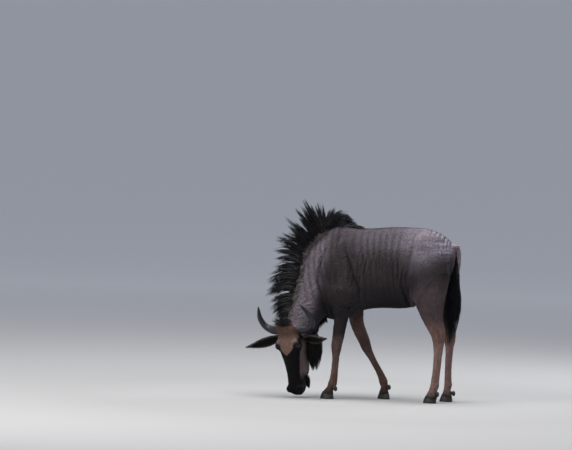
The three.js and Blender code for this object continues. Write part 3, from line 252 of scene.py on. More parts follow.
def inside(P, lo, hi, m): return np.nonzero(((P > lo - m) & (P < hi + m)).all(1))[0]
def form_value(f, P, idx=None):
    c = np.full(len(P), 60.0)
    for g in f['segs']:
        i = inside(P, g[2], g[3], 45)
        if len(i): c[i] = np.minimum(c[i], seg_value(g, P[i]))
    return c
def flesh(P):
    v = np.full(len(P), 60.0)
    for f in FORMS:
        i = inside(P, f['lo'], f['hi'], 45)
        if not len(i): continue
        c = form_value(f, P[i]); k = c < 60; i = i[k]
        v[i] = smin(v[i], c[k], f['blend'])
    for g in BUMPS:
        i = inside(P, g['lo'], g['hi'], 40)
        if len(i): v[i] = smin(v[i], lump_value(g, P[i]), g['blend'])
    return v
def gradient(P, e=1.5, f=flesh):
    g = np.empty_like(P)
    for k in range(3):
        d = np.zeros(3); d[k] = e; g[:, k] = (f(P + d) - f(P - d)) / (2 * e)
    return g
def settle(P, level=-COAT, rounds=2, h=8):
    P = P.copy()
    for _ in range(rounds):
        v = flesh(P) - level; g = gradient(P); gg = np.maximum((g * g).sum(1), 0.2)
        P -= g * np.clip(v / gg, -h * 0.5, h * 0.5)[:, None]
    return P, unit(gradient(P))
def owners(P):
    """For each point: the value of every form, and the nearest one's row, place along it and angle round it."""
    vals = np.full((len(P), len(FORMS)), 60.0); best = np.full(len(P), 1e9); place = np.zeros((len(P), 3))
    for j, f in enumerate(FORMS):
        for k, g in enumerate(f['segs']):
            i = inside(P, g[2], g[3], 45)
            if not len(i): continue
            v, t, a = seg_value(g, P[i], True); vals[i, j] = np.minimum(vals[i, j], v)
            b = v < best[i]; ib = i[b]; best[ib] = v[b]
            place[ib, 0] = j; place[ib, 1] = (k + t[b]) / len(f['segs']); place[ib, 2] = a[b]
    return vals, place

# ---------- the skin as a net of cells the surface crosses ----------
def skin_net(lo, hi, h, B=4):
    lo, hi = A(lo), A(hi); n = np.ceil((hi - lo) / (h * B)).astype(int) * B + 1
    cl = [lo[k] + np.arange(0, n[k], B) * h for k in range(3)]
    G = np.stack(np.meshgrid(*cl, indexing='ij'), -1); c = flesh(G.reshape(-1, 3)).reshape(G.shape[:3]) + COAT
    cs = np.stack([c[i:c.shape[0] - 1 + i, j:c.shape[1] - 1 + j, k:c.shape[2] - 1 + k] for i in (0, 1) for j in (0, 1) for k in (0, 1)])
    near = (np.abs(cs).min(0) < 46) | ((cs < 0).any(0) & (cs > 0).any(0))
    rep = lambda a: a.repeat(B, 0).repeat(B, 1).repeat(B, 2)
    val = np.full(n, 60.0); m = n - 1; val[:m[0], :m[1], :m[2]] = rep(np.where(cs[0] < 0, -60.0, 60.0))
    mark = np.zeros(n, bool); r = rep(near)
    for i in (0, 1):
        for j in (0, 1):
            for k in (0, 1): mark[i:m[0] + i, j:m[1] + j, k:m[2] + k] |= r
    idx = np.argwhere(mark); val[mark] = flesh(lo + idx * h) + COAT
    s = val < 0; acc = np.zeros((*(n - 1), 3)); cnt = np.zeros(n - 1, int); quads = []
    edges = []
    for ax in range(3):
        a = [slice(None)] * 3; b = [slice(None)] * 3; a[ax] = slice(0, -1); b[ax] = slice(1, None)
        cross = s[tuple(a)] != s[tuple(b)]; E = np.argwhere(cross); v0, v1 = val[tuple(a)][cross], val[tuple(b)][cross]
        pos = E.astype(float); pos[:, ax] += v0 / (v0 - v1); o = [k for k in range(3) if k != ax]
        for di in (0, 1):
            for dj in (0, 1):
                C = E.copy(); C[:, o[0]] -= di; C[:, o[1]] -= dj
                ok = ((C >= 0) & (C < n - 1)).all(1); ii = tuple(C[ok].T)
                np.add.at(acc, ii, pos[ok]); np.add.at(cnt, ii, 1)
        edges.append((ax, E, s[tuple(a)][cross]))
    idn = np.full(n - 1, -1); cells = np.argwhere(cnt > 0); idn[cnt > 0] = np.arange(len(cells))
    V = lo + acc[cnt > 0] / cnt[cnt > 0][:, None] * h
    for ax, E, sg in edges:
        o = [k for k in range(3) if k != ax]
        def at(di, dj): C = E.copy(); C[:, o[0]] -= di; C[:, o[1]] -= dj; return idn[tuple(C.T)]
        q = np.stack([at(1, 1), at(0, 1), at(0, 0), at(1, 0)], 1)
        flip = sg if ax == 1 else ~sg
        q[flip] = q[flip][:, ::-1]; quads.append(q)
    return V, np.concatenate(quads)

# ---------- folds, lids, nostrils ----------
def polyline(P, pts):
    """Nearest distance in the side view to a line of (x, z) points, which side of it, and place along it."""
    best = np.full(len(P), 1e9); side = np.zeros(len(P)); along = np.zeros(len(P)); q = P[:, [0, 2]]
    for i in range(len(pts) - 1):
        a, b = A(pts[i]), A(pts[i + 1]); ab = b - a; t = np.clip(((q - a) @ ab) / (ab @ ab), 0, 1)
        d = q - a - t[:, None] * ab; r = np.linalg.norm(d, axis=1); k = r < best
        best[k] = r[k]; side[k] = np.sign(ab[0] * d[k, 1] - ab[1] * d[k, 0]); along[k] = (i + t[k]) / (len(pts) - 1)
    return best, side, along
# lines in the side view where the skin sinks: points, depth, width, and a swelling behind (+) or before (-)
GROOVES = [
    ([[-200, 1075], [-236, 985], [-262, 890], [-262, 800], [-222, 700], [-206, 622]], 9, 14, 3),
    ([[-72, 1060], [-50, 985], [0, 850], [42, 772], [34, 722]], 12, 13, -4),
    ([[-150, 960], [-168, 880], [-160, 800]], 3, 14, 0),
    ([[330, 840], [350, 760], [372, 700], [402, 668]], 9, 14, 4),
    ([[430, 1150], [404, 1050], [380, 930], [352, 830]], 5, 24, 4),
    ([[-60, 960], [-30, 840], [18, 760]], 5, 16, 0),
    ([[-140, 700], [-100, 650], [-30, 650], [26, 700]], 6, 14, 0),
    ([[520, 700], [560, 610], [600, 545]], 3, 12, 0),
]
WRINKLES = [(x, z0, z1, lean) for x, z0, z1, lean in (
    (-30, 760, 1040, 0.10), (-8, 740, 1020, 0.16), (16, 760, 1060, 0.12), (44, 790, 1040, 0.08), (70, 830, 1010, 0.05),
    (250, 830, 990, -0.05), (276, 800, 1000, -0.03), (304, 790, 1010, 0.0), (330, 800, 960, 0.06), (125, 900, 1090, 0.03), (180, 880, 1060, -0.04))]
def cannon_x(z, rows): r = sorted([(q[2], q[0]) for q in rows]); zz, xx = zip(*r); return np.interp(z, zz, xx)
def detail(P):
    d = np.zeros(len(P)); side = np.abs(P[:, 1]) > 45
    for pts, depth, w, swell in GROOVES:
        r, s, t = polyline(P, pts); k = side * np.sin(np.pi * np.clip(t, 0.04, 0.96)) ** 0.6
        d -= depth * gauss(r, w * 0.55) * k
        d += abs(swell) * gauss(r - w * 1.5, w * 0.9) * k * (s == (-1 if swell > 0 else 1))
    for x, z0, z1, lean in WRINKLES:
        xx = x + lean * (P[:, 2] - 900) + 5 * np.sin(P[:, 2] / 38 + x)
        d -= (4.6 if x < 100 or x > 240 else 2.4) * gauss(P[:, 0] - xx, 6.5) * sstep(z0, z0 + 60, P[:, 2]) * (1 - sstep(z1 - 60, z1, P[:, 2])) * side
    # tendons behind the cannon bones
    for rows, y, z0, z1, off in ((FORE_NEAR, -125, 115, 300, 7), (FORE_FAR, 106, 115, 300, 7)):
        m = (np.abs(P[:, 1] - y) < 60) & (np.abs(P[:, 0] - cannon_x(P[:, 2], rows)) < 60)
        d -= 3 * gauss(P[:, 0] - cannon_x(P[:, 2], rows) - off, 4.5) * sstep(z0, z0 + 30, P[:, 2]) * (1 - sstep(z1 - 30, z1, P[:, 2])) * m
    zs, ss = zip(*HIND_SHIFT); mid = sorted([(z, (f + b) / 2) for z, f, b, y, w in HIND]); mz, mx = zip(*mid)
    hx = np.interp(P[:, 2], mz, mx) + np.where(P[:, 1] > 0, np.interp(P[:, 2], zs, ss), 0)
    m = (P[:, 0] > 440) & (P[:, 2] < 520)
    d -= 3 * gauss(P[:, 0] - hx - 8, 5) * sstep(120, 150, P[:, 2]) * (1 - sstep(360, 400, P[:, 2])) * m
    d -= 3.5 * gauss(P[:, 0] - hx - 12, 9) * sstep(400, 430, P[:, 2]) * (1 - sstep(500, 540, P[:, 2])) * m
    # low lumps of muscle and bone under the coat
    n = np.sin(P[:, 0] / 47 + 1.3) * np.sin(P[:, 2] / 61 + 0.6 * np.sin(P[:, 0] / 90)) * np.sin(P[:, 1] / 70 + 0.4)
    d += 1.6 * n * (P[:, 2] > 420)
    # ribs, faint
    d += 1.1 * np.cos((P[:, 0] + 0.22 * (P[:, 2] - 900)) / 8.2) * gauss(P[:, 0] - 150, 80) * gauss(P[:, 2] - 880, 110)
    l, f, u = head_coords(P); la = np.abs(l); h = (np.abs(u - 200) < 300) & (la < 130) & (f > -140) & (f < 110)
    if h.any():
        e = np.zeros(len(P))
        e -= 13 * gauss(np.hypot((la - 45) / 1.0, (u - 424) / 1.35) , 6.5) * (f > -8)          # nostrils
        e += 3.5 * gauss(np.hypot(la - 46, u - 422) - 16, 5) * (f > -12)                     # their wings
        e -= 4.5 * gauss(f + 14 + 0.35 * (456 - u) - 0.0, 3.2) * sstep(330, 366, u) * (la > 8)      # the mouth
        e -= 2.5 * gauss(la, 4) * sstep(425, 440, u) * (f > -20)                                 # the lip's furrow
        e -= 3.5 * gauss(la - 52 + 0.06 * u, 7) * gauss(u - 215, 55) * (f > 0)                    # hollow before the eye
        e += 2.6 * gauss(la - 56, 8) * gauss(u - 175, 45) * (f < 20) * (f > -40)                   # cheek ridge
        e -= 2.2 * np.abs(np.sin((f * 0.9 + u) / 9.5)) ** 6 * gauss(u - 330, 30) * (f < 0)             # folds at the mouth's corner
        e += 2.2 * gauss(np.sin((u + 0.3 * la) / 7.5), 0.35) * gauss(u - 70, 30) * gauss(f - 52, 14) * (la > 30)   # brow folds
        d += e * h
    # folds of the throat and across the neck's bend
    t = (P[:, 0] + 330) * 0.5 - (P[:, 2] - 700) * 0.86
    d -= 1.3 * np.maximum(np.sin(t / 11.0 + 0.8 * np.sin(P[:, 2] / 40)), 0) ** 3 * gauss(P[:, 0] + 318, 60) * gauss(P[:, 2] - 640, 120)
    return np.clip(d, -14, 4.4)

EYE_OUT = [unit(s * 0.86 * HL + 0.50 * HN + 0.06 * HA) for s in (1, -1)]
def lids(P):
    P = P.copy()
    for s, out in zip((1, -1), EYE_OUT):
        c = head_point(s * EYE[0], EYE[1], EYE[2]); v = P - c; r = np.linalg.norm(v, axis=1); i = np.nonzero(r < 52)[0]
        v, r = v[i], r[i]; w = unit(v); o = w @ out
        pu = unit(HA - out * (HA @ out)); pf = np.cross(out, pu); pf = pf * np.sign(pf @ HN)
        a, b = w @ pu * EYE_R, w @ pf * EYE_R
        e = np.hypot((a - 1) / 16.0, (b - 0.12 * a + 1.0) / np.where(b > 0, 10.2, 9.2)); front = o > 0.05
        hole = front & (e < 1); lid = front & (e >= 1)
        k = np.where(lid, np.clip(1 - (e - 1) / 1.0, 0, 1), 0)
        crease = 1.6 * gauss(e - 1.55, 0.12)
        target = EYE_R + 3.4 + 1.0 * gauss(e - 1.12, 0.12) - crease
        nr = r + np.where(lid, k * (np.maximum(r * 0.35 + 0.65 * target, target) - r), 0)
        nr = np.where(lid & (e < 1.5), np.maximum(nr, EYE_R + 2.6), nr)
        nr = np.where(hole, EYE_R - 3.0, nr)
        P[i] = c + w * nr[:, None]
    return P

LO, HI = [-594, -343, -24], [765, 250, 1250]
SV, SQ = skin_net(LO, HI, VOXEL)
SV, _ = settle(SV)

def foot_of(P):
    """Index of the foot a low point belongs to, or -1, and the height of its coronet there."""
    idx = np.full(len(P), -1); zc = np.full(len(P), -1e9)
    for j, ft in enumerate(FEET):
        k = (np.hypot(P[:, 0] - ft[1], P[:, 1] - ft[2]) < 95) & (P[:, 2] < 90); idx[k] = j
        zc[k] = CORONET + CORONET_RISE * (ft[1] - P[k, 0])
    return idx, zc
def end_feet(P):
    P = P.copy(); idx, zc = foot_of(P); k = (idx >= 0) & (P[:, 2] < zc - 1)
    c = A([[ft[1], ft[2]] for ft in FEET])[idx[k]]; deep = np.clip((zc[k] - P[k, 2]) / 22, 0, 1)
    P[k, :2] = c + (P[k, :2] - c) * (1 - 0.5 * deep[:, None]); P[k, 2] = zc[k] - 4 - 1.5 * deep
    return P

bm = bmesh.new()
me = bpy.data.meshes.new("net"); me.from_pydata(SV.tolist(), [], SQ.tolist()); bm.from_mesh(me); bpy.data.meshes.remove(me)
bmesh.ops.triangulate(bm, faces=bm.faces[:])
def refine(test, again=True):
    bm.verts.index_update(); co = A([v.co[:] for v in bm.verts]); m = test(co)
    es = [e for e in bm.edges if m[e.verts[0].index] and m[e.verts[1].index]]
    bmesh.ops.subdivide_edges(bm, edges=es, cuts=1, use_grid_fill=True)
    bmesh.ops.triangulate(bm, faces=[f for f in bm.faces if len(f.verts) > 3])
def near_head(P): l, f, u = head_coords(P); return (np.abs(l) < 112) & (u > 10) & (u < 480) & (f > -72) & (f < 110)
def near_eye(P): return np.min([np.linalg.norm(P - head_point(s * EYE[0], EYE[1], EYE[2]), axis=1) for s in (1, -1)], 0) < 44
def near_nose(P): l, f, u = head_coords(P); return (np.abs(l) < 80) & (u > 388) & (u < 470) & (f > -30)
refine(near_head)
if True: refine(near_eye); refine(near_nose); refine(lambda P: np.min([np.linalg.norm(P - head_point(s * EYE[0], EYE[1], EYE[2]), axis=1) for s in (1, -1)], 0) < 30)
bm.verts.index_update()
SV = A([v.co[:] for v in bm.verts]); SF = np.array([[v.index for v in f.verts] for f in bm.faces]); bm.free()
i = np.nonzero(near_head(SV))[0]; SV[i], _ = settle(SV[i], rounds=2, h=6)

def vertex_normals(V, F):
    n = np.cross(V[F[:, 1]] - V[F[:, 0]], V[F[:, 2]] - V[F[:, 0]]); out = np.zeros_like(V)
    for k in range(3):
        for c in range(3): out[:, c] += np.bincount(F[:, k], n[:, c], len(V))
    return unit(out)
SN = vertex_normals(SV, SF)
VALS, PLACE = owners(SV)
BASE = SV.copy()
SV = SV + SN * detail(SV)[:, None]
SV = end_feet(lids(SV))
SN = vertex_normals(SV, SF)

# ---------- markings, painted light and shade ---
def srgb(c): c = A(c) / 255.0; return np.where(c <= 0.04045, c / 12.92, ((c + 0.055) / 1.055) ** 2.4)
def noise(P, size, seed=0):
    g = np.random.default_rng(seed); v = np.zeros(len(P))
    for _ in range(7):
        k = unit(g.normal(size=3)) * g.uniform(0.6, 1.5) * 2 * np.pi / size; v += np.sin(P @ k + g.uniform(0, 6.28))
    return v / 3.0
# the back and rump tones are partly the coat's own bluish grey and partly painted top light and sheen; the belly tone
# is partly painted shade
TONE = dict(back=(88, 80, 89), flank=(44, 37, 39), belly_tone_and_shade=(9, 7, 8), shoulder=(51, 42, 43), neck=(104, 95, 102), chest=(34, 28, 30),
            # the forearm tone below is the near forearm in painted shade
            shaded_fore_arm=(34, 28, 30), knee=(76, 59, 54), cannon=(92, 70, 62), thigh=(76, 65, 68), gaskin=(76, 63, 64), hock=(112, 85, 77), hind_cannon=(130, 104, 97),
            black=(4, 4, 7), forehead=(108, 86, 77), poll=(68, 48, 41), cheek=(112, 97, 94), jowl=(74, 64, 62), muzzle=(5, 5, 8), dock=(136, 122, 128), rump_tone_and_sheen=(124, 116, 127))
TONE = {k: srgb(v) for k, v in TONE.items()}
def coat_color(P, V, PL):
    """Albedo at points of the skin: by form, height, and place on the head; it carries painted top light and sheen on
    the back and rump, and painted shade on the belly, the near forearm and in the folds.
    """
    x, y, z = P.T; W = lambda a, b, t: a + (b - a) * t[:, None]
    top = np.interp(x, [r[0] for r in TRUNK], [r[1] for r in TRUNK]); low = np.interp(x, [r[0] for r in TRUNK], [r[2] for r in TRUNK])
    h = (z - low) / (top - low); wob = 0.06 * noise(P, 260, 1)
    # darker belly, lighter back: partly the coat's own tone, partly painted shade below and painted top light above
    c = W(TONE['belly_tone_and_shade'], TONE['flank'], sstep(0.04, 0.34, h + wob)); c = W(c, TONE['back'], sstep(0.55, 0.97, h + wob))
    # paler bluish upper hindquarters: partly the coat's own tone, partly painted sheen
    c = W(c, TONE['rump_tone_and_sheen'], sstep(200, 560, x + 40 * noise(P, 300, 11)) * sstep(0.36, 0.80, h + wob))
    sh = gauss(x + 110, 120) * sstep(0.2, 0.5, h); c = W(c, TONE['shoulder'], 0.75 * sh * (1 - 0.45 * sstep(0.85, 1, h)))
    c = W(c, TONE['thigh'], sstep(400, 470, x) * (1 - sstep(760, 960, z)))
    # neck
    nk = sstep(-170, -260, x); crest = np.interp(z, [560, 700, 900, 1100, 1200], [-455, -425, -386, -290, -150]); throat = np.interp(z, [430, 560, 700, 1200], [-300, -255, -240, -100])
    q = np.clip((x - crest) / (throat - crest), 0, 1)
    nc = W(TONE['neck'], TONE['chest'], sstep(0.62, 1.0, q + wob)); c = W(c, nc, nk)
    c = W(c, TONE['chest'], gauss(x + 215, 60) * (1 - sstep(590, 700, z)) * 0.8)
    # legs
    fore = ((x < 330) & (z < 640)) * 1.0; k = (1 - sstep(520, 660, z)) * sstep(-260, -215, x) * fore * (np.abs(y) > 50)
    # painted shade on the near forearm; the far forearm gets the knee tone made 1.8 times lighter as painted light;
    # the lowest part of each leg darkens toward the same shaded forearm tone
    arm = mix(TONE['shaded_fore_arm'], TONE['knee'] * 1.8, (y > 0)[:, None] * 1.0); fc = W(TONE['knee'], arm, sstep(400, 470, z)); fc = W(TONE['cannon'], fc, sstep(285, 345, z))
    fc = W(fc, TONE['shaded_fore_arm'], (1 - sstep(60, 96, z)) * 0.55); c = W(c, fc, k)
    hind = (x > 380) * 1.0
    hc = W(TONE['gaskin'], TONE['thigh'], sstep(600, 760, z)); hc = W(TONE['hock'], hc, sstep(500, 590, z)); hc = W(TONE['hind_cannon'], hc, sstep(360, 440, z))
    hc = W(hc, TONE['shaded_fore_arm'], (1 - sstep(60, 96, z)) * 0.5); c = W(c, hc, hind * (1 - sstep(700, 830, z)))
    d = gauss(y, 30) * sstep(655, 675, x) * (z > 700) * (z < 1110); c = W(c, TONE['dock'], d)
    # brindle: dark upright bands from the neck to the ribs
    ph = (x + 0.16 * (z - 900) + 16 * noise(P, 420, 3)); b = np.sin(2 * np.pi * ph / 47 + 1.1 * noise(P, 300, 4))
    win = sstep(-420, -330, x) * (1 - sstep(250, 390, x)) * sstep(640, 760, z) * (1 - sstep(1120, 1215, z)) * (1 - 0.4 * gauss(x + 110, 60))
    c = c * (1 - 0.38 * (win * sstep(0.05, 0.9, b)))[:, None] * (1 + 0.10 * (win * sstep(0.0, 0.9, -b)))[:, None]
    # head
    l, f, u = head_coords(P); la = np.abs(l); hd = sstep(0, 14, VALS_TO_HEAD(V))
    hc = np.tile(TONE['black'], (len(P), 1))
    edge = np.interp(u, [-40, 60, 110, 150, 180, 200], [96, 88, 66, 40, 0, -16]) - np.abs(l + 0.06 * np.maximum(u, 0)) + 3 * noise(P, 22, 5)
    hc = W(hc, TONE['forehead'] * 1.0, sstep(-4, 8, edge) * sstep(-10, 14, f))
    hc = hc * (1 + (0.07 * noise(P, 19, 9) + 0.05 * noise(P, 9, 19)) * (f > 0))[:, None]
    hc = W(hc, TONE['poll'], sstep(-10, 20, f) * (1 - sstep(20, 80, u)) * 0.85)
    strip = (1 - sstep(8, 26, f + 4 * noise(P, 26, 8) + np.where(l < 0, 30, 0))) * sstep(60, 120, u) * (1 - sstep(300, 372, u))
    hc = W(hc, TONE['cheek'] * (1 + 0.0 * strip[:, None]), 0.95 * strip)
    jw = (1 - sstep(-40, -14, f)) * (1 - sstep(230, 320, u)); hc = W(hc, TONE['jowl'], jw * 0.5)
    ey = np.min([np.linalg.norm(P - head_point(s * EYE[0], EYE[1], EYE[2]), axis=1) for s in (1, -1)], 0)
    streak = gauss(np.hypot((u - 84) / 1.6, f - 58), 11) * (la > 50); hc = W(hc, TONE['cheek'], 0.7 * streak)
    hc = W(hc, TONE['black'], (1 - sstep(30, 46, ey)) * 0.9)
    hc = W(hc, TONE['muzzle'], sstep(360, 410, u)); c = W(c, hc, hd)
    # painted shade: the coat darkens in the folds and grooves where the skin sinks
    hollow = np.clip(-detail(P) / 9, 0, 1); c = c * (1 - 0.68 * hollow[:, None])
    return c * (1 + 0.07 * noise(P, 90, 6) + 0.05 * noise(P, 28, 7))[:, None]
def VALS_TO_HEAD(V):
    others = np.minimum(V[:, 1] + 6, V[:, 0]); return others - V[:, 2] + 4
SC = np.clip(coat_color(BASE, VALS, PLACE), 0.0015, 1)

# ---------- making meshes ----------
def mesh_of(name, V, F, col=None, uv=None, mat=None, smooth=True):
    V = np.asarray(V, float); F = np.asarray(F)
    m = bpy.data.meshes.new(name); W = (V + SH) / 1000
    m.vertices.add(len(W)); m.vertices.foreach_set("co", W.astype(np.float32).ravel())
    k = F.shape[1]; m.loops.add(F.size); m.polygons.add(len(F))
    m.loops.foreach_set("vertex_index", F.ravel().astype(np.int32)); m.polygons.foreach_set("loop_start", np.arange(0, F.size, k, dtype=np.int32))
    m.polygons.foreach_set("use_smooth", np.full(len(F), smooth)); m.update(calc_edges=True)
    if col is not None:
        a = m.color_attributes.new("Coat", "FLOAT_COLOR", "POINT"); a.data.foreach_set("color", np.c_[col, np.ones(len(col))].astype(np.float32).ravel())
    if uv is not None:
        l = m.uv_layers.new(name="OFBake"); l.data.foreach_set("uv", uv[F.ravel()].astype(np.float32).ravel())
    o = bpy.data.objects.new(name, m); bpy.context.scene.collection.objects.link(o)
    if mat: m.materials.append(mat)
    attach(o, "root"); return o

def material(name, rough, attr=True, color=(0.05, 0.05, 0.05), bump=(), sheen=0.0, sheen_tint=(0.8, 0.85, 1.0), coat=0.0, vary=0.25, stretch=(1, 1, 1), spec=0.5, wave=None):
    m = bpy.data.materials.new(name); m.use_nodes = True; nt = m.node_tree; N, L = nt.nodes, nt.links; p = N["Principled BSDF"]
    p.inputs["Specular IOR Level"].default_value = spec
    tc = N.new("ShaderNodeTexCoord"); mp = N.new("ShaderNodeMapping"); mp.inputs["Scale"].default_value = stretch; L.new(tc.outputs["Object"], mp.inputs["Vector"])
    if attr:
        a = N.new("ShaderNodeVertexColor"); a.layer_name = "Coat"; base = a.outputs["Color"]
    else:
        a = N.new("ShaderNodeRGB"); a.outputs[0].default_value = (*color, 1); base = a.outputs[0]
    n = N.new("ShaderNodeTexNoise"); n.inputs["Scale"].default_value = 160; n.inputs["Detail"].default_value = 5; L.new(mp.outputs[0], n.inputs["Vector"])
    r = N.new("ShaderNodeMapRange"); r.inputs["From Min"].default_value = 0.3; r.inputs["From Max"].default_value = 0.7
    r.inputs["To Min"].default_value = 1 - vary; r.inputs["To Max"].default_value = 1 + vary; L.new(n.outputs["Fac"], r.inputs["Value"])
    x = N.new("ShaderNodeVectorMath"); x.operation = "SCALE"; L.new(base, x.inputs[0]); L.new(r.outputs[0], x.inputs["Scale"]); L.new(x.outputs[0], p.inputs["Base Color"])
    rr = N.new("ShaderNodeMapRange"); rr.inputs["To Min"].default_value = rough - 0.08; rr.inputs["To Max"].default_value = min(rough + 0.08, 1); L.new(n.outputs["Fac"], rr.inputs["Value"]); L.new(rr.outputs[0], p.inputs["Roughness"])
    last = None
    for scale, strength, dist in bump:
        q = N.new("ShaderNodeTexNoise"); q.inputs["Scale"].default_value = scale; q.inputs["Detail"].default_value = 4; L.new(mp.outputs[0], q.inputs["Vector"])
        b = N.new("ShaderNodeBump"); b.inputs["Strength"].default_value = strength; b.inputs["Distance"].default_value = dist; L.new(q.outputs["Fac"], b.inputs["Height"])
        if last: L.new(last.outputs[0], b.inputs["Normal"])
        last = b
    if wave:
        q = N.new("ShaderNodeTexWave"); q.bands_direction = wave[2]; q.inputs["Scale"].default_value = wave[0]; q.inputs["Distortion"].default_value = 6; q.inputs["Detail"].default_value = 3; L.new(mp.outputs[0], q.inputs["Vector"])
        b = N.new("ShaderNodeBump"); b.inputs["Strength"].default_value = wave[1]; b.inputs["Distance"].default_value = 0.001; L.new(q.outputs["Fac"], b.inputs["Height"])
        if last: L.new(last.outputs[0], b.inputs["Normal"])
        last = b
    if last: L.new(last.outputs[0], p.inputs["Normal"])
    if sheen:
        p.inputs["Sheen Weight"].default_value = sheen; p.inputs["Sheen Roughness"].default_value = 0.45; p.inputs["Sheen Tint"].default_value = (*sheen_tint, 1)
    if coat: p.inputs["Coat Weight"].default_value = coat; p.inputs["Coat Roughness"].default_value = 0.04
    return m
M_SKIN = material("skin_coat", 0.78, bump=[(420, 0.55, 0.0018), (90, 0.35, 0.004)], sheen=0.03, stretch=(0.35, 1, 0.6), spec=0.14)
M_FUR = material("fur", 0.62, bump=[(600, 0.3, 0.001)], sheen=0.05, stretch=(0.4, 1, 0.5), vary=0.2, spec=0.24)
M_FACE = material("face_fur", 0.68, bump=[(600, 0.3, 0.001)], stretch=(0.4, 1, 0.5), vary=0.25, spec=0.10)
M_HAIR = material("long_hair", 0.45, bump=[(500, 0.3, 0.001)], vary=0.35, stretch=(1, 1, 0.2), spec=0.25)
M_HORN = material("horn_keratin", 0.42, bump=[(240, 0.35, 0.0012), (60, 0.3, 0.003)], vary=0.25, coat=0.05, spec=0.4)
M_HOOF = material("hoof_keratin", 0.5, bump=[(300, 0.4, 0.001)], vary=0.3, stretch=(1, 1, 0.25), wave=(90, 0.4, 'Z'))
M_EYE = material("eye_wet", 0.14, vary=0.05, coat=0.5, spec=0.3)
M_EAR = material("ear_coat", 0.75, bump=[(500, 0.5, 0.0015)], sheen=0.03, vary=0.25, spec=0.2)

skin = mesh_of("skin", SV, SF, SC, mat=M_SKIN)
FLESH = ["head", "neck", "trunk", "tail_dock"] + [f"{a}leg_{s}_{h}" for a in ("fore", "hind") for s in ("left", "right") for h in ("upper", "lower")]
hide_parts(*FLESH)

# ---------- tufts and locks ----------
CELLS = [(0, 0, 0.5, 0.5), (0.5, 0, 0.26, 0.4), (0.76, 0, 0.24, 0.4), (0, 0.5, 0.25, 0.25), (0.25, 0.5, 0.25, 0.25), (0, 0.75, 0.25, 0.25), (0.25, 0.75, 0.25, 0.25), (0.5, 0.5, 0.1, 0.25)]
def place_uv(pl):
    c = A(CELLS)[pl[:, 0].astype(int)]; a = (pl[:, 2] / (2 * np.pi)) % 1.0
    return np.c_[c[:, 0] + 0.004 + pl[:, 1] * (c[:, 2] - 0.01), c[:, 1] + 0.004 + a * (c[:, 3] - 0.01)]
def locks(C, side, up, w, t):
    """Closed three-sided hairs. C: (N, K, 3) lines, side and up: (N, K, 3), w and t: (N, K) half widths and heights. The last point is the tip."""
    n, K, _ = C.shape; V = np.zeros((n, (K - 1) * 3 + 1, 3))
    for k in range(K - 1):
        for j, (a, b) in enumerate(((-1, -0.35), (1, -0.35), (0, 1))):
            V[:, 3 * k + j] = C[:, k] + side[:, k] * (a * w[:, k])[:, None] + up[:, k] * (b * t[:, k])[:, None]
    V[:, -1] = C[:, -1]; F = [[0, 2, 1]]
    for k in range(K - 2):
        for j in range(3):
            a, b, c, d = 3 * k + j, 3 * k + (j + 1) % 3, 3 * k + 3 + j, 3 * k + 3 + (j + 1) % 3; F += [[a, b, d], [a, d, c]]
    e = 3 * (K - 2)
    F += [[e + j, e + (j + 1) % 3, 3 * (K - 1)] for j in range(3)]
    F = np.array(F); m = V.shape[1]
    return V.reshape(-1, 3), (F[None] + (np.arange(n) * m)[:, None, None]).reshape(-1, 3), m
PATCH = A([[math.cos(a), math.sin(a)] for a in np.linspace(0, 2 * np.pi, 12, endpoint=False)]) * 0.0014
def patch_uv(uv, m): o = PATCH[np.arange(m) % 12] * (0.5 + 0.5 * ((np.arange(m) // 3) / max(m // 3, 1)))[:, None]; return (uv[:, None] + o[None]).reshape(-1, 2)

area = np.linalg.norm(np.cross(SV[SF[:, 1]] - SV[SF[:, 0]], SV[SF[:, 2]] - SV[SF[:, 0]]), axis=1) / 2
def sample(weight, n):
    perm = rng.permutation(len(area)); w = (area * weight)[perm]; cdf = np.cumsum(w); tot = cdf[-1]
    pos = (np.arange(n) + rng.random(n)) / n * tot; f = perm[np.minimum(np.searchsorted(cdf, pos), len(area) - 1)]
    a, b = rng.random(n), rng.random(n); s = a + b > 1; a[s], b[s] = 1 - a[s], 1 - b[s]; wt = np.c_[1 - a - b, a, b]
    g = lambda X: np.einsum('ij,ijk->ik', wt, X[SF[f]])
    return dict(P=g(SV), B=g(BASE), N=unit(g(SN)), C=g(SC), pl=PLACE[SF[f, 0]], vals=VALS[SF[f, 0]], f=f)
def lie(S):
    """Which way the coat lies: back along the body, down the legs, up the face."""
    P = S['B']; n = len(P); form = S['pl'][:, 0].astype(int)
    d = np.tile(A([1.0, 0, -0.28]), (n, 1)); x, y, z = P.T
    d[:, 2] -= 0.5 * sstep(950, 700, z) * (x < 100); d[:, 0] += 0.0
    k = sstep(-180, -330, x)[:, None] * (form != 2)[:, None]; d = d * (1 - k) + A([0.62, 0.0, -0.55]) * k
    leg = (np.isin(form, (3, 4, 5, 6)) * (1 - sstep(560, 800, z)))[:, None]; d = d * (1 - leg) + A([0.12, 0, -1.0]) * leg
    dk = (form == 7)[:, None]; d = np.where(dk, A([0.05, 0, -1.0]), d)
    l, f, u = head_coords(P); hd = (VALS_TO_HEAD(S['vals']) > 4)[:, None]
    face = -HA + 0.25 * np.sign(l)[:, None] * HL; cheek = (-HN * 0.8 - HA * 0.5); dd = np.where((f > 8)[:, None], face, cheek)
    d = np.where(hd, dd, d) + rng.normal(size=(n, 3)) * 0.13
    return unit(d - S['N'] * (d * S['N']).sum(1, keepdims=True))
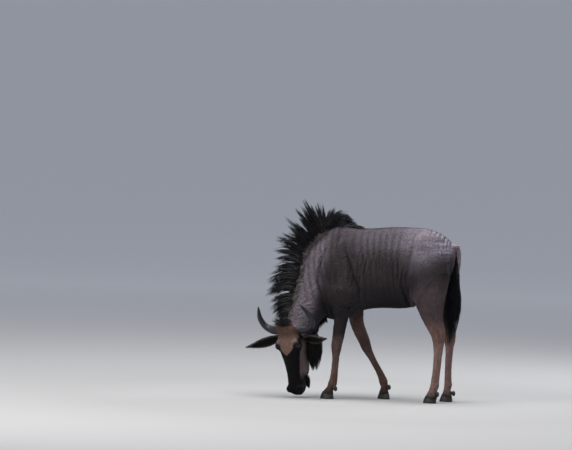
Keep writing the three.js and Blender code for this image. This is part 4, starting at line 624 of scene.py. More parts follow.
def tufts(S, length, width, lift=0.16, sink=1.2, shade=0.16, thick=0.32):
    n = len(S['P']); L = length * rng.uniform(0.75, 1.25, n); W = width * rng.uniform(0.75, 1.25, n); d = lie(S); nn = S['N']; sd = np.cross(nn, d)
    r = S['P'] - nn * sink; lf = L * lift * rng.uniform(0.6, 1.4, n)
    C = np.stack([r, r + d * (L * 0.5)[:, None] + nn * (sink + lf * 0.8)[:, None], r + d * L[:, None] + nn * (sink * 0.9 + lf * 0.55)[:, None]], 1)
    V, F, m = locks(C, np.repeat(sd[:, None], 3, 1), np.repeat(nn[:, None], 3, 1), np.stack([W * 0.8, W, W], 1), np.stack([W, W * 0.9, W], 1) * thick)
    c = S['C'] * (1 + shade * rng.normal(size=n)).clip(0.55, 1.5)[:, None]; tip = np.ones(m); tip[-1] = 1.22; tip[:3] = 0.86
    col = (c[:, None] * tip[None, :, None]).reshape(-1, 3)
    return V, F, col, patch_uv(place_uv(S['pl']), m), m

ids = PLACE[SF[:, 0], 0].astype(int); cB = BASE[SF].mean(1); hl_, hf_, hu_ = head_coords(cB)
headness = VALS_TO_HEAD(VALS[SF[:, 0]]) > 2
idx_, zc_ = foot_of(cB); hidden = (idx_ >= 0) & (cB[:, 2] < zc_ + 2)
eyed = np.min([np.linalg.norm(cB - head_point(s * EYE[0], EYE[1], EYE[2]), axis=1) for s in (1, -1)], 0)
bare = headness & (hu_ > 396) & (np.abs(hl_) < 74)
body_w = (~headness & ~hidden).astype(float); body_w *= np.where(np.isin(ids, (3, 4, 5, 6)) & (cB[:, 2] < 520), 1.7, 1.0)
mid_d = np.where(BASE[SF[:, 0], 1] > 0, 0.85, 1.0); body_w *= mid_d
K = 1.0
nb = int(62000 * K); S = sample(body_w, nb)
low = S['B'][:, 2] < 520; leg = np.isin(S['pl'][:, 0], (3, 4, 5, 6)) & low
length = np.where(leg, 10.5, 17.0) * np.where(S['B'][:, 2] < 640, 1.0, 1.06); width = np.where(leg, 2.1, 3.1)
length *= 1 + 0.5 * gauss(S['B'][:, 0] + 215, 60) * (S['B'][:, 2] < 650)
order = np.argsort(S['B'][:, 0] + np.where(leg, 5000, 0)); parts = 4
for j, part in enumerate(np.array_split(order, parts)):
    T = {k: v[part] for k, v in S.items()}
    V, F, col, uv, m = tufts(T, length[part], width[part], lift=np.where((T['B'][:, 0] > 330) & (T['B'][:, 2] > 1000), 0.05, 0.10), shade=0.12)
    mesh_of(f"coat_{['front', 'middle', 'rear', 'legs'][j] if parts > 1 else 'all'}", V, F, col, uv, M_FUR)
face_w = (headness & ~bare).astype(float) * sstep(24, 32, eyed)
S = sample(face_w, int(11000 * K)); V, F, col, uv, m = tufts(S, np.where(S['B'] @ HA * 0 + head_coords(S['B'])[1] > 8, 7.0, 10.0), np.full(len(S['P']), 1.3), lift=0.12, sink=0.8)
mesh_of("coat_face", V, F, col, uv, M_FACE)

# ---------- long hair ----------
def curve(K, rows): return np.stack(rows, 1)
def strands(C, w0, flat=0.6, shape=None, ref=None):
    """Hairs along (N, K, 3) lines, w0 half widths at the root, tapering to the tip."""
    n, K, _ = C.shape; t = unit(np.gradient(C, axis=1)); ref = A(ref if ref is not None else [0.2, 1, 0.1])
    rv = unit(ref + rng.normal(size=(n, 3)) * 0.5)[:, None] + 0 * C; sd = unit(np.cross(t, rv)); up = np.cross(sd, t)
    k = np.linspace(0, 1, K); pr = shape if shape is not None else np.array([0.7, 1.0, 1.0, 0.85, 0.6, 0.3, 0.1])
    prof = np.interp(k, np.linspace(0, 1, len(pr)), pr); w = w0[:, None] * prof
    return locks(C, sd, up, w, w * flat)
def grow(root, d0, tip, K, curl=6.0, sag=0.0, lead=0.5):
    """Lines from root to tip that leave along d0, with a slow wave and a sag."""
    n = len(root); L = np.linalg.norm(tip - root, axis=1)[:, None, None]; t = np.linspace(0, 1, K)[None, :, None]
    c1 = root[:, None] + d0[:, None] * L * lead * 0.66; C = (1 - t) ** 2 * root[:, None] + 2 * t * (1 - t) * (c1 + (tip - root)[:, None] * 0.22) + t * t * tip[:, None]
    C = C + A([0, 0, -1]) * (sag if np.isscalar(sag) else np.asarray(sag)[:, None, None]) * 4 * t * (1 - t)
    a, b, ph = unit(rng.normal(size=(n, 3)))[:, None], unit(rng.normal(size=(n, 3)))[:, None], rng.uniform(0, 6.28, (n, 1, 1))
    return C + (a * np.sin(t * 5.0 + ph) + b * np.cos(t * 8.3 + ph * 1.7) * 0.5) * curl * t
def shade_of(base, n, m, var=0.25, tip=1.15):
    c = srgb(base) if np.ndim(base) == 1 else base
    k = (1 + var * rng.normal(size=n)).clip(0.4, 1.9); r = 0.85 + (tip - 0.85) * np.arange(m) / m
    return (np.broadcast_to(c, (n, 3)) * k[:, None])[:, None] * r[None, :, None] + 0 * np.zeros((n, m, 1))
def hair_piece(name, parts, nodes=()):
    V, F, col, uv, o = [], [], [], [], 0
    for v, f, m, c, u in parts: V.append(v); F.append(f + o); o += len(v); col.append(c.reshape(-1, 3)); uv.append(patch_uv(u, m))
    ob = mesh_of(name, np.concatenate(V), np.concatenate(F), np.clip(np.concatenate(col), 0.0015, 1), np.concatenate(uv), M_HAIR)
    if nodes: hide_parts(*nodes)
    return ob
BLACK = (15, 15, 19)
def uvline(a, b, cell=(0.6, 0.5, 0.38, 0.45)): return np.c_[cell[0] + np.clip(a, 0, 1) * cell[2], cell[1] + np.clip(b, 0, 1) * cell[3]]
def mane_row(k):
    R = A(MANE); i = np.clip(k * (len(R) - 1), 0, len(R) - 1.001); j = i.astype(int); return R[j] + (R[j + 1] - R[j]) * (i - j)[:, None], j
def onto(P, level=-COAT - 1.0):
    Q, _ = settle(P, level=level, rounds=3, h=24); return Q

# mane: clusters of hairs between the rows of the solids' locks
def mane_hairs():
    out = []
    ncl = int(62 * (1)); per = 50
    k = np.sort((np.arange(ncl) + rng.random(ncl)) / ncl)
    rows, _ = mane_row(k); rows = rows.copy()
    alt = rng.uniform(0, 1, ncl)
    tip = rows[:, 3:6].copy(); root = rows[:, :3].copy(); lift = rows[:, 6]
    tip = root + (tip - root) * rng.uniform(0.80, 1.12, (ncl, 1)); tip[:, 1] += rng.normal(size=ncl) * 20
    # along each cluster's middle line, as the solids' locks run
    d = unit(tip - root); up = np.where((d[:, 2] > 0.6)[:, None], np.c_[-np.sign(np.where(d[:, 0] == 0, -1, d[:, 0])) * d[:, 2], 0 * k, np.abs(d[:, 0])], A([0, 0, 1.0]))
    tt = np.linspace(0, 1, 8); prof = np.interp(tt, [0, 0.33, 0.66, 1], [0, 0.8, 0.8, 0])
    mid = root[:, None] + (tip - root)[:, None] * tt[None, :, None] + up[:, None] * (lift[:, None] * prof[None])[:, :, None]
    tan = unit(np.gradient(mid, axis=1)); side = unit(np.cross(tan, A([0, 1, 0]) + 0 * tan)); lat = np.cross(side, tan)
    fine = k < 0.42
    drop = rng.uniform(5, 60, ncl)
    for c in range(ncl):
        spread = (13.0 if fine[c] else 17.0); a, b = rng.normal(size=per), rng.normal(size=per)
        close = np.interp(tt, [0, 0.3, 0.6, 1], [1.0, 0.72, 0.36, 0.10])
        stray = rng.random(per) < 0.22; a = np.where(stray, a * 1.2, a)
        C = mid[c][None] + (side[c][None] * a[:, None, None] * 0.62 + lat[c][None] * b[:, None, None] * 0.75) * (spread * np.where(stray[:, None], np.maximum(close, 0.62), close[None]))[:, :, None]
        s = rng.uniform(0.62, 1.03, per); C = C[:, :1] + (C - C[:, :1]) * s[:, None, None]
        wv = rng.uniform(0, 6.28, (per, 1)); C = C + side[c][None] * (np.sin(tt[None] * 6 + wv) * tt[None] * 4.0)[:, :, None] + A([0, 0, -1]) * (tt ** 2 * rng.uniform(0, 14, (per, 1)) + (0 if fine[c] else drop[c]))[:, :, None]
        out.append((C, k[c]))
    C = np.concatenate([o[0] for o in out]); kk = np.repeat([o[1] for o in out], per)
    V, F, m = strands(C, rng.uniform(1.7, 3.3, len(C)), flat=0.5)
    n = len(C); col = shade_of(BLACK, n, m, 0.35, 1.25); u = uvline(kk, rng.random(n))
    parts = [(V, F, m, col, u)]
    # a dense dark ridge the locks rise from
    n = int(1100 * (1)); k = rng.random(n); rows, _ = mane_row(k); root = rows[:, :3] + np.c_[rng.normal(size=n) * 3, rng.normal(size=n) * 17, rng.normal(size=n) * 3]
    root = onto(root, -8); dirn = unit(rows[:, 3:6] - rows[:, :3]); L = rng.uniform(36, 84, n) * np.interp(k, [0, 0.1, 0.85, 1], [0.6, 1, 1.1, 0.4])
    tip = root + unit(dirn + rng.normal(size=(n, 3)) * 0.22 + A([0.12, 0, -0.15])) * L[:, None]
    V, F, m = strands(grow(root, dirn, tip, 6, curl=4), rng.uniform(1.8, 3.2, n), flat=0.5)
    parts.append((V, F, m, shade_of(BLACK, n, m, 0.3), uvline(k, rng.random(n))))
    # hair that falls back over the withers
    nc = 30; n = int(600 * (1)); ci = rng.integers(0, nc, n); k = np.clip((rng.random(nc) ** 1.2)[ci] + rng.normal(size=n) * 0.03, 0, 1); x0 = -235 + 175 * k
    root = np.c_[x0, rng.normal(size=n) * 15, np.interp(x0, [-330, -240, -185, -146, -60], [1070, 1160, 1180, 1200, 1204]) + 6]
    root = onto(root, -8); L = rng.uniform(90, 200, nc)[ci] * rng.uniform(0.8, 1.05, n) * (1 - 0.35 * k)
    rise = (rng.uniform(0.05, 1.0, nc) ** 1.5)[ci] * (1 - 0.8 * k); tw = (rng.normal(size=nc) * 0.2)[ci]; d0 = unit(np.c_[0.25 + 0.75 * (1 - rise), rng.normal(size=n) * 0.25, rise * 1.3 + 0.1])
    tip = root * A([1, 0.4, 1]) + unit(np.c_[1.0 + 0 * k, tw, rise * 0.75 - 0.10]) * L[:, None]
    V, F, m = strands(grow(root, d0, tip, 7, curl=6, sag=-rng.uniform(2, 14, n)), rng.uniform(1.5, 2.7, n), flat=0.5)
    parts.append((V, F, m, shade_of(BLACK, n, m, 0.35, 1.35), uvline(k, rng.random(n))))
    # paler hairs along the root of the mane, lying down the neck
    n = int(1200 * (1)); k = 0.2 + 0.8 * rng.random(n); rows, _ = mane_row(k); s = np.where(rng.random(n) < 0.62, -1.0, 1.0)
    root = rows[:, :3] + np.c_[rng.uniform(4, 26, n), s * rng.uniform(12, 40, n), rng.normal(size=n) * 6]; root = onto(root, -6)
    g = unit(gradient(root)); dm = unit(rows[:, 3:6] - rows[:, :3]); d0 = unit(dm * rng.uniform(0.1, 1.0, (n, 1)) + 0.55 * np.c_[0 * k, s, 0 * k] + A([0.1, 0, -0.5]) + rng.normal(size=(n, 3)) * 0.15)
    tip = root + d0 * rng.uniform(26, 58, n)[:, None]
    V, F, m = strands(grow(root, d0, tip, 5, curl=2), rng.uniform(0.8, 1.4, n), flat=0.5)
    tones = np.where(rng.random((n, 1)) < 0.45, srgb((132, 122, 120)), srgb((46, 40, 42)))
    parts.append((V, F, m, shade_of(tones, n, m, 0.2), uvline(k, rng.random(n))))
    # a tuft between the horns
    n = int(240 * (1)); l = rng.normal(size=n) * 26; u = rng.uniform(-62, -22, n)
    root = onto(head_point(l, np.full(n, 24.0), u), -6); d0 = unit(A([-0.85, -0.25, 0.30]) - HA * 0.25 + rng.normal(size=(n, 3)) * 0.28)
    tip = root + unit(d0 + A([0, 0, -0.2])) * rng.uniform(34, 84, n)[:, None]
    V, F, m = strands(grow(root, d0, tip, 5, curl=3), rng.uniform(1.1, 1.9, n), flat=0.5)
    parts.append((V, F, m, shade_of(BLACK, n, m, 0.3), uvline(rng.random(n), rng.random(n))))
    return parts
MH = mane_hairs()
hair_piece("mane_locks", MH[:1], ("mane",)); hair_piece("mane_base", MH[1:])

# black and rusty hairs along the spine
n = int(1900 * K); x = rng.uniform(-70, 650, n); top = np.interp(x, [r[0] for r in TRUNK], [r[1] for r in TRUNK])
root = onto(np.c_[x, rng.normal(size=n) * 13, top - 2], -6); g = unit(gradient(root)); fade = 1 - 0.55 * sstep(150, 560, x)
d0 = unit(A([1.0, 0, 0]) + np.c_[0 * x, rng.normal(size=n) * 0.22, 0 * x] - g * 0); d0 = unit(d0 - g * (d0 * g).sum(1, keepdims=True) + g * 0.32)
tip = root + unit(d0 - g * 0.12) * (rng.uniform(18, 34, n) * fade)[:, None]
V, F, m = strands(grow(root, d0, tip, 4, curl=1.5), rng.uniform(1.2, 2.1, n), flat=0.5)
tones = np.where(rng.random((n, 1)) < 0.86 - 0.3 * sstep(200, 560, x)[:, None], srgb(BLACK), srgb((74, 54, 48)))
hair_piece("back_ridge", [(V, F, m, shade_of(tones, n, m, 0.2), uvline((x + 70) / 720, rng.random(n)))])

# tail: hairs spring from the whole bony part and hang
R = A(TAIL_HAIR); zs = R[:, 2]
def tail_mid(z): return np.interp(-z, -zs, R[:, 0]), np.interp(-z, -zs, R[:, 3])
n = int(1500 * (1)); z0 = rng.uniform(800, 1100, n) - 0; a = rng.uniform(0, 6.28, n)
z0 = np.where(rng.random(n) < 0.42, rng.uniform(790, 940, n), z0)
DR = A(DOCK)[::-1]; dx, dr = np.interp(z0, DR[:, 2], DR[:, 0]), np.interp(z0, DR[:, 2], DR[:, 3])
a = np.where(z0 > 960, -2.35 + rng.normal(size=n) * 0.45, a)   # high up they spring from the sides and front only
root = np.c_[dx + (dr - 4) * np.cos(a), (dr - 4) * np.sin(a), z0]
end = np.where(z0 > 960, rng.uniform(650, 860, n), np.where(rng.random(n) < 0.6, rng.uniform(384, 640, n), rng.uniform(560, 760, n)))
kk = np.linspace(0, 1, 9); zz = z0[:, None] + (end - z0)[:, None] * kk[None]; mx, painted_floor_light = tail_mid(zz)
u1, u2 = np.clip(rng.normal(size=n) * 0.5, -1, 1)[:, None], np.clip(rng.normal(size=n) * 0.5, -1, 1)[:, None]
lead = sstep(0, 0.35, kk)[None]; C = np.stack([root[:, :1] + (mx + painted_floor_light * u1 * 0.92 - root[:, :1]) * lead, root[:, 1:2] + (painted_floor_light * 0.62 * u2 - root[:, 1:2]) * lead, zz], -1)
ph = rng.uniform(0, 6.28, (n, 1)); C[..., 0] += 5 * np.sin(kk * 7 + ph) * kk; C[..., 1] += 4 * np.cos(kk * 6 + ph) * kk
V, F, m = strands(C, rng.uniform(1.6, 2.8, n), flat=0.6, ref=[1, 0.3, 0])
hair_piece("tail_locks", [(V, F, m, shade_of((14, 15, 22), n, m, 0.35, 1.3), uvline((1100 - z0) / 320, rng.random(n)))], ("tail_hair",))

# beard
parts = []
for row, cnt in zip(BEARD, (330, 300, 200)):
    n = int(cnt * (1)); B = A(row); k0 = rng.uniform(0, 0.42, n); kk = np.linspace(0, 1, 8); e = rng.uniform(0.72, 1.02, n)
    s = k0[:, None] + (e - k0)[:, None] * kk[None]; P = np.stack([np.interp(s, np.linspace(0, 1, len(B)), B[:, c]) for c in range(4)], -1)
    u1, u2 = np.clip(rng.normal(size=n) * 0.55, -1.1, 1.1), np.clip(rng.normal(size=n) * 0.5, -1, 1)
    C = P[..., :3].copy(); C[..., 0] += u1[:, None] * P[..., 3]; C[..., 1] += u2[:, None] * P[..., 3] * 0.8
    rt = onto(C[:, 0] + A([8, 0, 22]), -9); f = (1 - sstep(0, 0.3, kk))[None, :, None]; C = C * (1 - f) + (rt[:, None] + (C - C[:, :1]) * 0.7) * f
    ph = rng.uniform(0, 6.28, (n, 1)); C[..., 0] += 4 * np.sin(kk * 6 + ph) * kk; C[..., 1] += 3 * np.cos(kk * 5 + ph) * kk
    V, F, m = strands(C, rng.uniform(1.5, 2.6, n), flat=0.6, ref=[1, 0.3, 0]); parts.append((V, F, m, shade_of((14, 13, 15), n, m, 0.35, 1.3), uvline(k0 * 2, rng.random(n))))
# a thin fringe from the throat down to the chest
n = int(420 * (1)); k = rng.random(n); root = np.c_[mix(-262, -205, k), mix(-112, -20, k) + rng.normal(size=n) * 14, mix(470, 570, k)]
root = onto(root, -8); tip = root + unit(np.c_[0.15 + 0 * k, rng.normal(size=n) * 0.12, -1 + 0 * k]) * rng.uniform(35, 85, n)[:, None] * (1 - 0.45 * k)[:, None]
V, F, m = strands(grow(root, np.tile(A([0.2, 0, -0.9]), (n, 1)), tip, 6, curl=4), rng.uniform(1.4, 2.2, n), flat=0.6)
parts.append((V, F, m, shade_of((20, 18, 19), n, m, 0.3, 1.3), uvline(k, rng.random(n))))
hair_piece("beard_locks", parts, ("beard",))
# chin
C0 = A(CHIN_HAIR); n = int(330 * (1)); k0 = rng.uniform(-0.15, 0.5, n); e = rng.uniform(0.7, 1.02, n); kk = np.linspace(0, 1, 7); s = k0[:, None] + (e - k0)[:, None] * kk[None]
L4 = np.stack([np.interp(s, np.linspace(0, 1, 4), C0[:, c], ) for c in range(4)], -1); u1, u2 = np.clip(rng.normal(size=n) * 0.6, -1.1, 1.1), np.clip(rng.normal(size=n) * 0.6, -1, 1)
C = head_point(L4[..., 0], L4[..., 1], L4[..., 2]) + HL * (u1[:, None] * L4[..., 3])[..., None] + HN * (u2[:, None] * L4[..., 3] * 0.8)[..., None]
rt = onto(C[:, 0], -7); f = (1 - sstep(0, 0.4, kk))[None, :, None]; C = C * (1 - f) + (rt[:, None] + (C - C[:, :1]) * 0.8) * f
V, F, m = strands(C, rng.uniform(1.2, 2.1, n), flat=0.6); tones = np.where(rng.random((n, 1)) < 0.45, srgb((62, 46, 42)), srgb((14, 13, 15)))
hair_piece("chin_locks", [(V, F, m, shade_of(tones, n, m, 0.25, 1.2), uvline(rng.random(n), rng.random(n)))], ("chin_hair",))

# fetlock and coronet fringe
parts = []
for ft in FEET:
    n = int(230 * (1)); a = rng.uniform(0, 6.28, n); x, y = ft[1] + 40 * ft[3] * np.cos(a), ft[2] + 34 * ft[3] * np.sin(a)
    zc = CORONET + CORONET_RISE * (ft[1] - x); root = onto(np.c_[x, y, zc + rng.uniform(3, 16, n)], -5); g = unit(gradient(root)); d0 = unit(A([0, 0, -1.0]) + g * 0.25)
    tip = root + unit(A([0, 0, -1.0]) + g * 0.12 + rng.normal(size=(n, 3)) * 0.12) * rng.uniform(11, 20, n)[:, None]
    V, F, m = strands(grow(root, d0, tip, 4, curl=1), rng.uniform(1.0, 1.7, n), flat=0.5); parts.append((V, F, m, shade_of((58, 46, 43), n, m, 0.25), uvline(a / 6.3, rng.random(n))))
hair_piece("foot_fringe", parts)

# ---------- tubes, horns, hooves, eyes, ears ----------
def rings_mesh(rings, caps=True):
    R = A(rings); K, M, _ = R.shape; V = R.reshape(-1, 3); F = []
    for k in range(K - 1):
        for j in range(M): a, b = k * M + j, k * M + (j + 1) % M; F.append([a, b, b + M]); F.append([a, b + M, a + M])
    V = V.tolist()
    if caps:
        c0, c1 = len(V), len(V) + 1; V += [R[0].mean(0).tolist(), R[-1].mean(0).tolist()]
        for j in range(M): F.append([c0, (j + 1) % M, j]); F.append([c1, (K - 1) * M + j, (K - 1) * M + (j + 1) % M])
    V, F = A(V), np.array(F); n = np.cross(V[F[:, 1]] - V[F[:, 0]], V[F[:, 2]] - V[F[:, 0]])
    if (V[F[:, 0]] * n).sum() < 0: F = F[:, ::-1].copy()
    return V, F
for name, s in (("left", 1), ("right", -1)):
    rows = A(smooth_rows([[*head_point(s * l, f, u), r] for l, f, u, r in HORN], 7)); C = rows[:, :3]; t = unit(np.gradient(C, axis=0)); run = np.r_[0, np.cumsum(np.linalg.norm(np.diff(C, axis=0), axis=1))]
    ref = HA.copy(); rings = []; cols = []
    for i in range(len(C)):
        ref = unit(ref - t[i] * (ref @ t[i])); b = np.cross(t[i], ref); q = run[i] / run[-1]
        a = np.linspace(0, 2 * np.pi, 28, endpoint=False); boss = 1 - sstep(0.08, 0.5, q)
        r = rows[i, 3] * (1 + boss * (0.035 * np.sin(a * 9 + run[i] / 9) + 0.03 * np.sin(run[i] / 3.4) + 0.03 * np.sin(a * 4 + 1.3 + run[i] / 21)))
        rings.append(C[i] + np.outer(r * np.cos(a), ref) + np.outer(r * np.sin(a), b))
        cols.append(np.tile(mix(mix(srgb((32, 30, 32)), srgb((31, 31, 39)), sstep(0.05, 0.4, q)), srgb((13, 13, 17)), sstep(0.62, 1, q)), (28, 1)) * (1 + 0.15 * np.sin(a * 7 + run[i] / 12))[:, None])
    V, F = rings_mesh(rings); col = np.r_[np.concatenate(cols), cols[0][:1], cols[-1][:1]]
    o = mesh_of(f"horn_{name}_keratin", V, F, col, mat=M_HORN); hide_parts(f"horn_{name}")

CL = A(smooth_rows([*CLAW[-1:], *CLAW, *CLAW[:2]], 5))[5:-10]
for ft in FEET:
    name, fx, fy, size, yaw, ddx, ddz = ft
    for side in (1, -1):
        yr = math.radians(yaw); rings = []; cols = []
        for q in np.linspace(0, 1, 12):
            # 0 sole, then the wall up to the coronet, which bulges a little under the hair
            k = np.interp(q, [0, 0.06, 0.5, 0.9, 1], [0.94, 1.0, 0.9, 0.78, 0.75]); sh = np.interp(q, [0, 0.06, 1], [0, 0, -5])
            f, s = CL[:, 0] * size * k + sh, side * np.maximum(CL[:, 1] * size * k, 3)
            px = fx - f * math.cos(yr) - s * math.sin(yr) * np.sign(fy); py = fy + s * math.cos(yr) * np.sign(fy) + f * math.sin(yr) * np.sign(fy)
            zc = CORONET + CORONET_RISE * (fx - px) - 0.6; z = np.interp(q, [0, 0.06, 1], [0, 4, 1]) if q <= 0.06 else 4 + (zc - 4) * (q - 0.06) / 0.94
            rings.append(np.c_[px, py, z + 0 * px]); cols.append(np.tile(srgb((25, 23, 24)) * (0.8 + 0.5 * q), (len(px), 1)) * (1 + 0.12 * np.sin(q * 26)))
        V, F = rings_mesh(rings); col = np.r_[np.concatenate(cols), cols[0][:1], cols[-1][:1]]
        w = "outer" if side > 0 else "inner"; o = mesh_of(f"hoof_{name}_{w}_wall", V, F, col, mat=M_HOOF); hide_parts(f"hoof_{name}_{w}")
        rows = A(smooth_rows([[ddx - 8, fy + side * 15, ddz + 15, 10], [ddx - 2, fy + side * 17, ddz + 5, 12], [ddx + 4, fy + side * 18, ddz - 8, 9], [ddx + 6, fy + side * 18, ddz - 18, 3.5]], 4)); a = np.linspace(0, 2 * np.pi, 16, endpoint=False)
        V, F = rings_mesh([r[:3] + np.outer(r[3] * np.cos(a), A([1, 0, 0.35])) + np.outer(r[3] * 0.9 * np.sin(a), A([0, 1, 0])) for r in rows])
        o = mesh_of(f"dewclaw_{name}_{w}_horn", V, F, np.tile(srgb((24, 22, 23)), (len(V), 1)), mat=M_HOOF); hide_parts(f"dewclaw_{name}_{w}")

for name, s, out in (("left", 1, EYE_OUT[0]), ("right", -1, EYE_OUT[1])):
    pu = unit(HA - out * (HA @ out)); pf = np.cross(out, pu); c = head_point(s * EYE[0], EYE[1], EYE[2]); rings, cols = [], []
    for i in range(1, 30):
        th = np.pi * i / 30; a = np.linspace(0, 2 * np.pi, 40, endpoint=False); r = EYE_R * (1 + 0.035 * math.exp(-(th / 0.45) ** 2))
        dirs = math.cos(th) * out[None] + math.sin(th) * (np.outer(np.cos(a), pu) + np.outer(np.sin(a), pf)); rings.append(c + dirs * r)
        pa, pb = math.sin(th) * np.cos(a), math.sin(th) * np.sin(a); pup = np.hypot(pa / 0.42, pb / 0.22) < 1
        iris = th < 0.82; base = srgb((26, 16, 10)) if iris else srgb((10, 8, 8)); cc = np.tile(base, (40, 1)) * (1 + 0.25 * np.sin(a * 17))[:, None] if iris else np.tile(base, (40, 1)); cc[pup] = srgb((3, 3, 5)); cols.append(cc)
    V, F = rings_mesh(rings); col = np.r_[np.concatenate(cols), cols[0][:1], cols[-1][:1]]
    o = mesh_of(f"eye_{name}_ball", V, F, col, mat=M_EYE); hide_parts(f"eye_{name}")

for name, root, dirc, length in EARS:
    d = unit(dirc[0] * HL + dirc[1] * HN + dirc[2] * HA); o0 = HN * 0.85 + HA * 0.45; o_ = unit(o0 - d * (o0 @ d)); w = np.cross(d, o_); c0 = head_point(*root)
    rings, cols = [], []; T = np.linspace(-0.04, 1, 34)
    for t in T:
        hw = max(float(np.interp(np.clip(t, 0, 1) * 8, range(9), EAR_WIDTH)), 2.5); hw = float(np.clip(hw, 2.5, 45)); cup = 0.75 * hw * (1 - 0.55 * max(t, 0)); th = mix(9, 3.2, max(t, 0)) * (1 if hw > 6 else 0.5)
        c = c0 + d * t * length + o_ * 7 * math.sin(math.pi * np.clip(t, 0, 1)); a1 = np.linspace(-1, 1, 17); a2 = np.linspace(0.9, -0.9, 15)
        fold = 1.6 * np.cos(a1 * 7) * (hw / 40); P1 = c + np.outer(a1 * hw, w) + np.outer(-cup * (1 - a1 ** 2), o_); P2 = c + np.outer(a2 * hw, w) + np.outer(-cup * (1 - a2 ** 2) + th * (0.5 + 0.5 * (1 - a2 ** 2)) + 1.2 * np.cos(a2 * 9) * (hw / 40), o_)
        rings.append(np.r_[P1, P2]); rim = 1 - sstep(0.0, 0.16, 1 - np.abs(a1)); rim2 = 1 - sstep(0.1, 0.3, 1 - np.abs(a2))
        outer = mix(srgb((38, 34, 37)), srgb((70, 61, 59)), rim[:, None]); inner = mix(srgb((9, 9, 11)), srgb((74, 65, 62)), 0.7 * rim2[:, None]); cols.append(np.r_[outer, inner] * (0.85 + 0.25 * (t > 0.8)))
    V, F = rings_mesh(rings); col = np.r_[np.concatenate(cols), cols[0][:1], cols[-1][:1]]
    ear = mesh_of(f"{name}_cup", V, F, col, mat=M_EAR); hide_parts(name)
    # hairs on the back, along both rims and a few inside
    R = A(rings); parts = []
    n = int(900 * (1)); ti = rng.uniform(1, 32.9, n); i0 = ti.astype(int); j0 = rng.uniform(0, 15.9, n); jj = j0.astype(int); fr = (j0 - jj)[:, None]; ft_ = (ti - i0)[:, None]
    at = lambda i, j: R[np.clip(i, 0, 33), j]; Pp = (at(i0, jj) * (1 - fr) + at(i0, jj + 1) * fr) * (1 - ft_) + (at(i0 + 1, jj) * (1 - fr) + at(i0 + 1, jj + 1) * fr) * ft_
    nn = unit(-o_ + w * ((j0 / 16 * 2 - 1) * 1.0)[:, None]); d0 = unit(d + nn * 0.22 + rng.normal(size=(n, 3)) * 0.15); tip = Pp + d0 * rng.uniform(9, 16, n)[:, None]
    V, F, m = strands(grow(Pp - nn * 1.0, d0, tip, 4, curl=0.6), rng.uniform(0.8, 1.4, n), flat=0.4); e = np.abs(j0 / 8 - 1)[:, None]
    parts.append((V, F, m, shade_of(mix(srgb((38, 34, 37)), srgb((72, 63, 60)), sstep(0.8, 1, e)), n, m, 0.2), uvline(ti / 34, j0 / 16)))
    n = int(420 * (1)); ti = rng.uniform(2, 32, n); sd = np.where(rng.random(n) < 0.5, 0, 16); i0 = ti.astype(int); Pp = R[i0, sd]; sg = np.where(sd == 0, -1, 1)[:, None]
    d0 = unit(d * 0.8 - w * sg * 0.55 + o_ * 0.5 + rng.normal(size=(n, 3)) * 0.25); tip = Pp + d0 * rng.uniform(10, 24, n)[:, None]
    V, F, m = strands(grow(Pp, d0, tip, 5, curl=1.5), rng.uniform(0.7, 1.2, n), flat=0.5); parts.append((V, F, m, shade_of((84, 74, 70), n, m, 0.35), uvline(ti / 34, rng.random(n))))
    hair_piece(f"{name}_hairs", parts)

# ---------- floor, camera, light ----------
def plain(name, color, rough):
    m = bpy.data.materials.new(name); m.use_nodes = True; p = m.node_tree.nodes["Principled BSDF"]; p.inputs["Base Color"].default_value = (*color, 1); p.inputs["Roughness"].default_value = rough; p.inputs["Specular IOR Level"].default_value = 0.1; return m
fm = bpy.data.meshes.new("floor"); a = np.linspace(0, 2 * np.pi, 96, endpoint=False)
fm.from_pydata([(600 * math.cos(t), 600 * math.sin(t), 0) for t in a], [], [list(range(96))]); floor = bpy.data.objects.new("floor", fm); bpy.context.scene.collection.objects.link(floor)
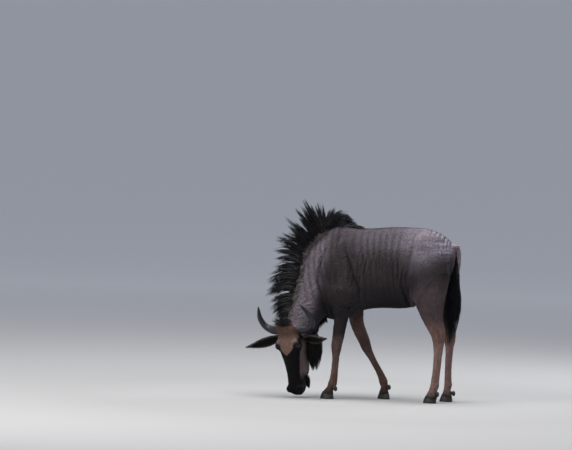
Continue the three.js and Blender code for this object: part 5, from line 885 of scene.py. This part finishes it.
# painted light: the floor's colour pales from 0.34 within 2 m of the middle to 0.86 beyond 14 m, so the far floor, lit
# by the world alone, looks as bright as the lamp-lit floor near the animal
flm = plain("studio_floor", (0.5, 0.5, 0.5), 0.9); nt = flm.node_tree; tc = nt.nodes.new("ShaderNodeTexCoord"); ln = nt.nodes.new("ShaderNodeVectorMath"); ln.operation = "LENGTH"
painted_floor_light = nt.nodes.new("ShaderNodeMapRange"); painted_floor_light.inputs["From Min"].default_value = 2.0; painted_floor_light.inputs["From Max"].default_value = 14.0; painted_floor_light.inputs["To Min"].default_value = 0.34; painted_floor_light.inputs["To Max"].default_value = 0.86
nt.links.new(tc.outputs["Object"], ln.inputs[0]); nt.links.new(ln.outputs["Value"], painted_floor_light.inputs["Value"]); nt.links.new(painted_floor_light.outputs[0], nt.nodes["Principled BSDF"].inputs["Base Color"])
fm.materials.append(flm)

cam = bpy.data.cameras.new("camera"); cam.sensor_width = 36; cam.lens = 404.6; cam.clip_start = 0.5; cam.clip_end = 3000; co = bpy.data.objects.new("camera", cam); bpy.context.scene.collection.objects.link(co)
az, el, ro = (math.radians(v) for v in (8, 2.5, 2)); back = A([math.sin(az) * math.cos(el), -math.cos(az) * math.cos(el), math.sin(el)]); r0 = A([math.cos(az), math.sin(az), 0]); u0 = np.cross(back, r0)
right, up = r0 * math.cos(ro) + u0 * math.sin(ro), u0 * math.cos(ro) - r0 * math.sin(ro); pos = (A([5743.4, -44539.0, 3159.8]) + SH) / 1000
from mathutils import Matrix
co.matrix_world = Matrix([[right[i], up[i], back[i], pos[i]] for i in range(3)] + [[0, 0, 0, 1]]); bpy.context.scene.camera = co

w = bpy.data.worlds.new("studio"); bpy.context.scene.world = w; w.use_nodes = True; w.node_tree.nodes["Background"].inputs[0].default_value = (0.80, 0.86, 1.0, 1); w.node_tree.nodes["Background"].inputs[1].default_value = 0.40
def lamp(name, at, to, size, power, color):
    d = bpy.data.lights.new(name, "AREA"); d.shape = "DISK"; d.size = size; d.energy = power; d.color = color; o = bpy.data.objects.new(name, d); bpy.context.scene.collection.objects.link(o); o.location = at
    from mathutils import Vector
    o.rotation_euler = (Vector(to) - Vector(at)).to_track_quat('-Z', 'Y').to_euler()
lamp("overhead", (0.2, -0.3, 6.0), (0, 0, 0.6), 4.6, 500, (1.0, 0.98, 0.96))
lamp("key", (-3.4, -4.2, 4.6), (-0.1, 0, 0.7), 3.0, 230, (1.0, 0.97, 0.94))
lamp("rim", (3.0, 3.6, 3.6), (0, 0, 0.7), 2.5, 100, (0.92, 0.96, 1.0))
bpy.context.scene.view_settings.view_transform = "Standard"
